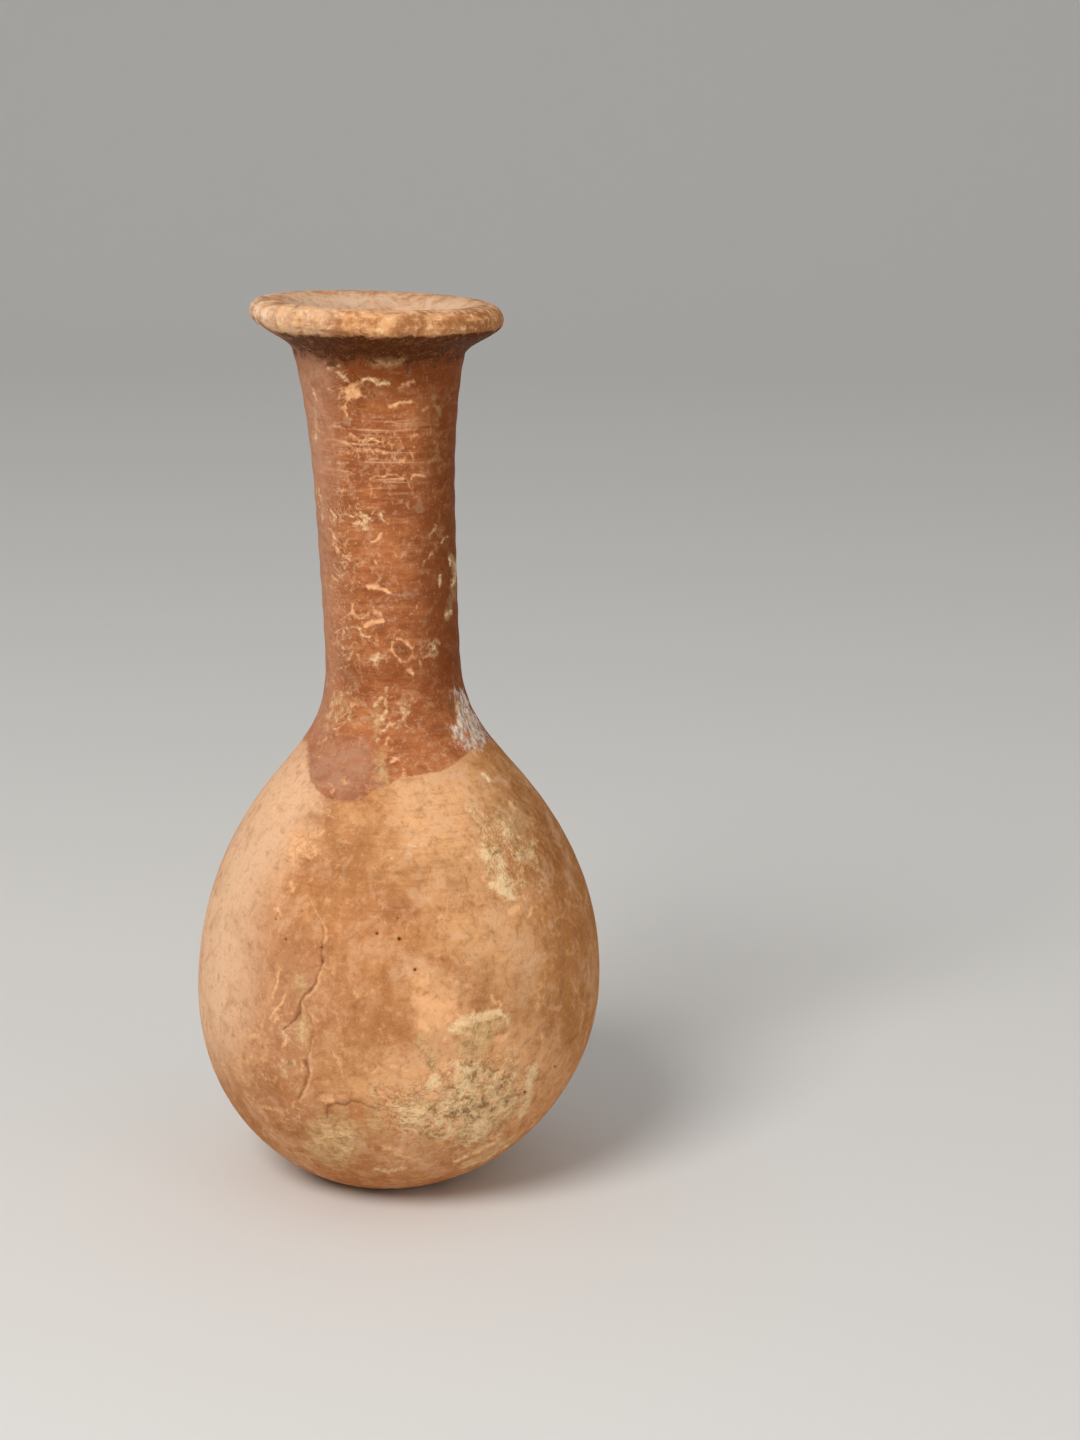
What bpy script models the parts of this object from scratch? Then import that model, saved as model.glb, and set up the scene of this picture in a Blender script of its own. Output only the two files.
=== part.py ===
"""Terracotta unguentarium: a small bottle for scented oil, thrown on the wheel in one piece.

Metres, +Z up. The origin is the centre of the flat foot, on the surface it stands on.
The front, where the slip runs lowest, faces -Y. The bottle leans a little along X, as thrown.
"""

import math

import bpy
from mathutils import Vector
from mathutils.geometry import interpolate_bezier

# Heights, each counted from the one below it
BELLY_HEIGHT = 0.0298
SHOULDER_RISE = 0.0309
WAIST_RISE = 0.0188
NECK_LENGTH = 0.0435
RIM_HEIGHT = 0.0070

# Outside radii
FOOT_RADIUS = 0.0095
BELLY_RADIUS = 0.0299
SHOULDER_RADIUS = 0.0184
WAIST_RADIUS = 0.0098
NECK_TOP_RADIUS = 0.0123
CREST_RADIUS = 0.0154
RIM_RADIUS = 0.01805

# Clay thickness
FLOOR_THICKNESS = 0.0042
BODY_WALL = 0.0034
NECK_WALL = 0.0038
LIP_HEIGHT = 0.0041
FOOT_EDGE_ROUNDING = 0.0003

# Slopes of the outside, from the vertical
SHOULDER_SLOPE = math.radians(39.7)
NECK_FLARE = math.radians(13.4)

# The mouth: a shallow dish inside the lip, running down into the bore
DISH_DEPTH = 0.0120

# How far the axis sways along X at each height, and how far the rim tips down at +X
BELLY_SWAY = 0.00165
SHOULDER_SWAY = 0.00162
WAIST_SWAY = 0.00066
NECK_TOP_SWAY = -0.00135
RIM_SWAY = -0.00165
RIM_TILT = math.radians(1.8)

# Fullness of each curve, as the length of its handles over its rise
BELLY_FULLNESS = 0.43
SHOULDER_FULLNESS = 0.306
SHOULDER_HOLLOW = 0.478
WAIST_HOLLOW = 0.477
WAIST_STRAIGHTNESS = 0.459
FLARE_REACH = 0.227

AROUND = 64
ON_AXIS = 1e-5

# Heights above the foot
SHOULDER_HEIGHT = BELLY_HEIGHT + SHOULDER_RISE
WAIST_HEIGHT = SHOULDER_HEIGHT + WAIST_RISE
NECK_TOP_HEIGHT = WAIST_HEIGHT + NECK_LENGTH
HEIGHT = NECK_TOP_HEIGHT + RIM_HEIGHT


def point(radius, height):
    return Vector((radius, 0.0, height))


def curve(start, leaving, arriving, end, count):
    """Points of a Bezier arc: handles are given as steps from its two ends."""
    return interpolate_bezier(start, start + leaving, end + arriving, end, count)


def ellipse(centre, across, up, first, last, count):
    """Points of an ellipse in the meridian plane, from one angle to another."""
    points = []
    for step in range(count):
        angle = first + (last - first) * step / (count - 1)
        points.append(centre + point(across * math.cos(angle), up * math.sin(angle)))
    return points


def bowl_depth(radius, flat, height):
    """Half height of the ellipse that is cut off flat, at that radius, so far below its middle."""
    return height / math.sqrt(1 - (flat / radius) ** 2)


def outer_belly():
    """From the widest circle down to the edge of the foot, with that edge a little rounded."""
    centre = point(0, BELLY_HEIGHT)
    depth = bowl_depth(BELLY_RADIUS, FOOT_RADIUS, BELLY_HEIGHT)
    lowest = -math.acos(FOOT_RADIUS / BELLY_RADIUS)
    arc = ellipse(centre, BELLY_RADIUS, depth, 0, lowest, 13)
    corner = arc[-1]
    above = (arc[-2] - corner).normalized() * FOOT_EDGE_ROUNDING
    inward = point(-FOOT_EDGE_ROUNDING, 0)
    rounded = curve(corner + above, -above / 2, -inward / 2, corner + inward, 3)
    return arc[:-1] + rounded


def outer_shoulder():
    """From the neck's waist down to the widest circle, in two arcs that meet on the shoulder."""
    waist = point(WAIST_RADIUS, WAIST_HEIGHT)
    shoulder = point(SHOULDER_RADIUS, SHOULDER_HEIGHT)
    belly = point(BELLY_RADIUS, BELLY_HEIGHT)
    down = point(math.sin(SHOULDER_SLOPE), -math.cos(SHOULDER_SLOPE))
    upper = curve(
        waist,
        point(0, -WAIST_RISE * WAIST_HOLLOW),
        -down * WAIST_RISE * SHOULDER_HOLLOW,
        shoulder,
        8,
    )
    lower = curve(
        shoulder,
        down * SHOULDER_RISE * SHOULDER_FULLNESS,
        point(0, SHOULDER_RISE * BELLY_FULLNESS),
        belly,
        8,
    )
    return upper + lower[1:]


def outer_neck():
    """From under the rim down to the waist, flaring towards the top."""
    top = point(NECK_TOP_RADIUS, NECK_TOP_HEIGHT)
    down = point(-math.sin(NECK_FLARE), -math.cos(NECK_FLARE))
    return curve(
        top,
        down * NECK_LENGTH * FLARE_REACH,
        point(0, NECK_LENGTH * WAIST_STRAIGHTNESS),
        point(WAIST_RADIUS, WAIST_HEIGHT),
        9,
    )


def lip():
    """The rounded bead of the rim, from its crest over the outside to where its underside starts."""
    middle = point(CREST_RADIUS, HEIGHT - LIP_HEIGHT / 2)
    return ellipse(
        middle,
        RIM_RADIUS - CREST_RADIUS,
        LIP_HEIGHT / 2,
        math.pi / 2,
        math.radians(-58),
        10,
    )


def inset(points, wall):
    """The same run of points, moved in by a wall that can change along it."""
    moved = []
    last = len(points) - 1
    for number, place in enumerate(points):
        along = points[min(number + 1, last)] - points[max(number - 1, 0)]
        inward = Vector((along.z, 0.0, -along.x)).normalized()
        moved.append(place + inward * wall(place.z))
    return moved


def wall_at(height):
    """Neck wall above the waist and body wall below the shoulder, blended between."""
    share = (height - SHOULDER_HEIGHT) / WAIST_RISE
    share = min(max(share, 0.0), 1.0)
    return BODY_WALL + (NECK_WALL - BODY_WALL) * share


def inner_wall():
    """The bore, from the bottom of the dish, and the inside of the shoulder, to the widest circle."""
    inside = inset(outer_neck()[::2] + outer_shoulder()[2::2], wall_at)
    bore_top = HEIGHT - DISH_DEPTH
    below = [place for place in inside if place.z < bore_top]
    above = inside[len(inside) - len(below) - 1]
    share = (bore_top - below[0].z) / (above.z - below[0].z)
    return [below[0].lerp(above, share)] + below


def inner_bowl():
    """The inside of the belly, from the widest circle down to the middle of the floor."""
    centre = point(0, BELLY_HEIGHT)
    radius = BELLY_RADIUS - BODY_WALL
    depth = BELLY_HEIGHT - FLOOR_THICKNESS
    return ellipse(centre, radius, depth, 0, -math.pi / 2, 9)


def dish(bore_top):
    """From the crest of the lip down into the top of the bore."""
    crest = point(CREST_RADIUS, HEIGHT)
    inward = point(-(CREST_RADIUS - bore_top.x) * 0.55, 0)
    upward = point(0, (HEIGHT - bore_top.z) * 0.55)
    return curve(crest, inward, upward, bore_top, 8)


def meridian():
    """The whole section, from the middle of the floor up the inside, over the lip and down to the foot."""
    inside = inner_wall()
    hollow = dish(inside[0])[:-1] + inside[:-1] + inner_bowl()
    outside = lip()[1:] + outer_neck() + outer_shoulder()[1:] + outer_belly()[1:]
    return hollow[::-1] + outside + [point(0, 0)]


def sway_at(height):
    """How far the bottle's axis stands from the foot's, along X: a smooth curve through six places."""
    places = [
        (0.0, 0.0),
        (BELLY_HEIGHT, BELLY_SWAY),
        (SHOULDER_HEIGHT, SHOULDER_SWAY),
        (WAIST_HEIGHT, WAIST_SWAY),
        (NECK_TOP_HEIGHT, NECK_TOP_SWAY),
        (HEIGHT, RIM_SWAY),
    ]
    last = len(places) - 1
    slopes = []
    for number in range(len(places)):
        before, after = places[max(number - 1, 0)], places[min(number + 1, last)]
        slopes.append((after[1] - before[1]) / (after[0] - before[0]))
    for number in range(last):
        (low, sway), (high, next_sway) = places[number], places[number + 1]
        if height <= high or number == last - 1:
            span = high - low
            share = (height - low) / span
            turn = share * share * (3 - 2 * share)
            leaving = slopes[number] * span * share * (1 - share) ** 2
            arriving = slopes[number + 1] * span * share * share * (1 - share)
            return sway + (next_sway - sway) * turn + leaving - arriving
    return 0.0


def tilt_share(height):
    """None of the rim's tilt at the neck's middle, all of it from the neck's top up."""
    start = WAIST_HEIGHT + NECK_LENGTH / 2
    share = min(max((height - start) / (NECK_TOP_HEIGHT - start), 0.0), 1.0)
    return share * share * (3 - 2 * share)


def lean(place):
    """Moves a point of the true-running bottle to where the leaning one has it."""
    drop = place.x * math.tan(RIM_TILT) * tilt_share(place.z)
    return Vector((place.x + sway_at(place.z), place.y, place.z - drop))


def terracotta():
    material = bpy.data.materials.new("terracotta")
    material.use_nodes = True
    shader = material.node_tree.nodes["Principled BSDF"]
    shader.inputs["Base Color"].default_value = (0.60, 0.30, 0.13, 1.0)
    shader.inputs["Roughness"].default_value = 0.75
    shader.inputs["Metallic"].default_value = 0.0
    return material


def turned(name, points, collection):
    """A solid of revolution about Z, from its section."""
    mesh = bpy.data.meshes.new(name)
    edges = [(number, number + 1) for number in range(len(points) - 1)]
    mesh.from_pydata(points, edges, [])
    solid = bpy.data.objects.new(name, mesh)
    collection.objects.link(solid)
    screw = solid.modifiers.new("turning", "SCREW")
    screw.axis = "Z"
    screw.steps = AROUND
    screw.render_steps = AROUND
    screw.use_merge_vertices = True
    screw.merge_threshold = ON_AXIS
    return solid


def made_real(solid):
    """Gives the object the mesh that its modifiers make."""
    bpy.context.view_layer.update()
    graph = bpy.context.evaluated_depsgraph_get()
    section = solid.data
    solid.data = bpy.data.meshes.new_from_object(solid.evaluated_get(graph))
    solid.modifiers.clear()
    bpy.data.meshes.remove(section)


def unguentarium(collection):
    bottle = turned("unguentarium", meridian(), collection)
    made_real(bottle)
    for vertex in bottle.data.vertices:
        vertex.co = lean(vertex.co)
    bottle.data.materials.append(terracotta())
    bottle.data.shade_smooth()
    bottle.data.set_sharp_from_angle(angle=math.radians(40))
    return bottle


def main():
    for old in list(bpy.data.objects):
        bpy.data.objects.remove(old, do_unlink=True)
    collection = bpy.data.collections.new("terracotta_unguentarium")
    bpy.context.scene.collection.children.link(collection)
    unguentarium(collection)


main()
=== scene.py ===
"""Looks of the terracotta unguentarium: thrown clay, worn slip, cracks and burial deposits.

Metres, +Z up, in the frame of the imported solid. The front of the bottle faces -Y.
Places on its front are pixels of the 1080 x 1440 photograph, cast back onto the clay.
"""

import math

import bpy
import numpy as np
from bpy.props import FloatProperty, FloatVectorProperty, IntProperty, PointerProperty
from bpy.types import Operator, Panel, PropertyGroup
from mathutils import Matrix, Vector, noise


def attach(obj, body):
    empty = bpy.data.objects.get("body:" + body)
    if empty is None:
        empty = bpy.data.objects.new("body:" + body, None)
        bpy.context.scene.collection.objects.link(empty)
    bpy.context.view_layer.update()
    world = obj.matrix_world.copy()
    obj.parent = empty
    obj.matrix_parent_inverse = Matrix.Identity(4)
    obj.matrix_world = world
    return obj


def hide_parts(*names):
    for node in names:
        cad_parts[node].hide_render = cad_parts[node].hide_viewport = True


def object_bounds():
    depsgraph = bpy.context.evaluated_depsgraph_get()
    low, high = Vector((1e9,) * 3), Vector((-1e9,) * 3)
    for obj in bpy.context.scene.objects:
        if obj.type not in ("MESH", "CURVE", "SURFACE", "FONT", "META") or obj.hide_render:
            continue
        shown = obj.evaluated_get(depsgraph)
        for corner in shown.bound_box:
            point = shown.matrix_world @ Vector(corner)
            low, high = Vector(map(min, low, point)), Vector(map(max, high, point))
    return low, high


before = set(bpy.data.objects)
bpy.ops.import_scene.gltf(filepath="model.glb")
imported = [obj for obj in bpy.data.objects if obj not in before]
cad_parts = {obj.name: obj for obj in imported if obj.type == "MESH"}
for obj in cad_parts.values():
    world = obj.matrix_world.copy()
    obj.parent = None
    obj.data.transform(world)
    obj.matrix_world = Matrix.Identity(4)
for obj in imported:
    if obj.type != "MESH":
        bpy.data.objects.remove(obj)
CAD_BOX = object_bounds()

bl_info = {
    "name": "Terracotta Unguentarium",
    "version": (1, 0, 0),
    "blender": (4, 5, 0),
    "location": "3D View > Sidebar > Unguentarium",
    "description": "Throws, weathers and lights a small ancient oil bottle",
    "category": "Object",
}

NODE = "unguentarium"
PIECE = "unguentarium_clay"
MM = 0.001
PICTURE = (1080, 1440)
SENSOR = 36
PIXELS_PER_MM = 6.83

# Fullness of each curve of the section, as the length of its handles over its rise
BELLY_FULLNESS = 0.43
SHOULDER_FULLNESS = 0.306
SHOULDER_HOLLOW = 0.478
WAIST_HOLLOW = 0.477
WAIST_STRAIGHTNESS = 0.459
FLARE_REACH = 0.227
DISH_FULLNESS = 0.55
LIP_TURNS = (-58, 16, 90)
UNDER_LIP_LEAVING = (0.0009, 0.0013)
UNDER_LIP_ARRIVING = (-0.0015, -0.0012)
BORE_NARROWING = 0.00098
BORE_HANDLE = (-0.038, -0.23)
BORE_STRAIGHTNESS = 0.46
INSIDE_SPACING = 0.0024
SEAM = 1e-6
SPUN_SEAM = 2e-6

# Rounds of cutting near the marks: reach and softest mark in pixels, smallest face in metres
CUTTING_ROUNDS = ((3.4, 2.6, 0.0001), (1.6, 2.0, 0.0002))
CRACK_MARGIN = 0.8
RIDGE_MARGIN = 5
DOT_MARGIN = 3

# Where each of these fades in across the photograph, in pixels, from none to all of it
NECK_HAZE_COLUMNS = (350, 318)
LIP_END_COLUMNS = (292, 258)
NECK_SHADE_COLUMNS = (400, 448)
SLIP_START_COLUMNS = (298, 322)
BLEACH_ROWS = (1130, 1000)
RIGHT_SIDE_SHADE_ROWS = (1020, 1090)
ABOVE_THE_LIP = ((650, 100), (150, 100))

# Heights where each of these fades in, in millimetres, from none to all of it
BODY_HEIGHTS = (74, 60)
LOW_BODY_HEIGHTS = (34, 12)
SHOULDER_HEIGHTS = (48, 62)
NECK_HEIGHTS = (62, 82)
NECK_SHADE_HEIGHTS = (64, 80)
RIGHT_SIDE_SHADE_HEIGHTS = (80, 64)
LIP_END_HEIGHTS = (126, 127.5)
RIM_HEIGHTS = (125.6, 126.8)
RING_HEIGHTS = (34, 50)
CRUST_HEIGHTS = (0.5, 6)
BACK_SLIP_HEIGHT = 67.0

# The same for what fades in and out again: rising, then falling
NECK_RIBS = ((101, 106), (117, 112))
SHOULDER_RIBS = ((44, 50), (66, 60))
# Painted shade under the lip
UNDER_RIM_SHADE = ((119.4, 125.0), (126.9, 126.1))
WORN_LIP = ((125.2, 126.2), (129.2, 127.4))

# Turns from the front where each side's weathering, and the painted shade down the right side, fades
# in, and fades out behind, in radians
SIDE_FADE = (2.7, 1.5)
LIP_END_FADE = (2.6, 1.6)
NECK_SHADE_FADE = (2.8, 1.3)
WEST_TURNS = (0.55, 1.05)
EAST_TURNS = (0.42, 1.2)

# Soft noises: size of cloud in metres, octaves and seed
FINE_CLOUDS = (1.4 * MM, 3, 3.1)
FLAKE_CLOUDS = (4 * MM, 2, 40.0)
MIDDLING_CLOUDS = (5 * MM, 3, 11.0)
BROAD_CLOUDS = (26 * MM, 2, 5.0)

# The most that the relief moves a point, in metres
MOST_RELIEF = 0.0006

# The stage
FLOOR_WIDTH = 4
WALL_HEIGHT = 1.4
SWEEP_RADIUS = 0.9
SWEEP_STEPS = 16
KEY_PLACE = (-0.37, -0.60, 0.67)
KEY_WIDTH = 0.42
KEY_COLOUR = (1.0, 0.985, 0.96)
FILL_PLACE = (0.75, -0.52, 0.22)
FILL_WIDTH = 0.36
FILL_COLOUR = (1.0, 0.97, 0.93)
ROOM_COLOUR = (1.0, 0.99, 0.98, 1.0)
NEAR_CLIP = 0.01

# The lower edge of the red slip on the front, from left to right, in pixels
SLIP_EDGE = (
    (150, 730), (296, 733), (306, 742), (308, 756), (307, 768), (311, 782), (318, 791), (326, 797),
    (334, 801), (346, 800), (361, 801), (366, 796), (372, 791), (381, 788), (388, 786), (393, 782),
    (400, 777), (412, 776), (430, 773), (440, 771), (447, 768), (455, 763), (462, 758), (470, 752),
    (478, 745), (490, 738), (520, 730), (650, 724),
)

# Cracks in the body: strength, half width and a line, in pixels
CRACKS = (
    (0.35, 1.5, ((310, 884), (311, 893), (312, 907), (315, 913), (320, 920), (323, 928), (324, 934),
                 (322, 942))),
    (0.7, 2.2, ((322, 942), (321, 949), (322, 957), (322, 963), (320, 970), (317, 977), (315, 984),
                (311, 989))),
    (0.9, 2.4, ((311, 989), (305, 995), (300, 1001), (299, 1008), (299, 1014), (295, 1019),
                (290, 1024), (284, 1029))),
    (0.5, 1.8, ((304, 1003), (306, 1010), (310, 1017), (313, 1026), (312, 1036), (310, 1046),
                (308, 1056), (305, 1061))),
    (0.7, 3.0, ((305, 1061), (308, 1070), (306, 1082), (302, 1092), (298, 1099))),
    (0.6, 2.2, ((327, 1118), (328, 1107), (336, 1103), (345, 1106), (352, 1101), (362, 1104),
                (378, 1110))),
)

# Raised edges along the cracks, on the side that faces the light, with a painted highlight, in the same
# way
RAISED_LIT_EDGES = (
    (0.9, 2.2, ((311, 902), (313, 908), (317, 914), (322, 921), (326, 929), (326, 937), (325, 944))),
    (1.0, 2.4, ((324, 965), (321, 974), (318, 983), (314, 991), (307, 997), (303, 1001))),
    (1.0, 2.0, ((302, 1001), (305, 1009), (311, 1015), (318, 1022))),
    (0.7, 1.9, ((315, 970), (322, 966), (330, 969), (333, 975))),
    (0.7, 2.0, ((312, 1040), (311, 1050), (309, 1058))),
    (0.9, 2.6, ((312, 1068), (311, 1076), (309, 1084), (304, 1095), (300, 1102))),
)

# The faint turned groove round the shoulder
GROOVE = (
    (306, 860), (320, 865), (340, 870), (360, 873), (380, 877), (397, 873), (413, 869), (428, 865),
    (441, 863), (455, 858), (470, 853),
)

# Small dark pits: across, down and radius, in pixels
PITS = (
    (399.5, 939, 2.7), (415.3, 970, 2.5), (377, 933.5, 1.8), (285, 939, 1.8), (275, 919, 1.3),
    (302, 911, 1.1), (321, 947.5, 1.6), (322, 962, 1.3), (398, 918, 1.0), (526, 1093, 2.2),
    (556, 1067, 1.5), (406, 481, 1.4), (357, 562, 1.3),
)

# Faint brown specks: across, down and radius, in pixels
SPECKS = (
    (402, 822, 2.0), (384, 816, 1.8), (409, 907, 2.0), (439, 908, 2.4), (457, 890, 2.2),
    (437, 921, 2.8), (419, 931, 1.8), (341, 845, 2.2), (318, 828, 1.6), (355, 1007, 3.0),
    (348, 1018, 2.4), (262, 1047, 2.0), (277, 1086, 2.2), (384, 1044, 1.8), (406, 1057, 2.0),
    (429, 1066, 2.0), (500, 812, 1.8), (365, 905, 1.6),
)

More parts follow.
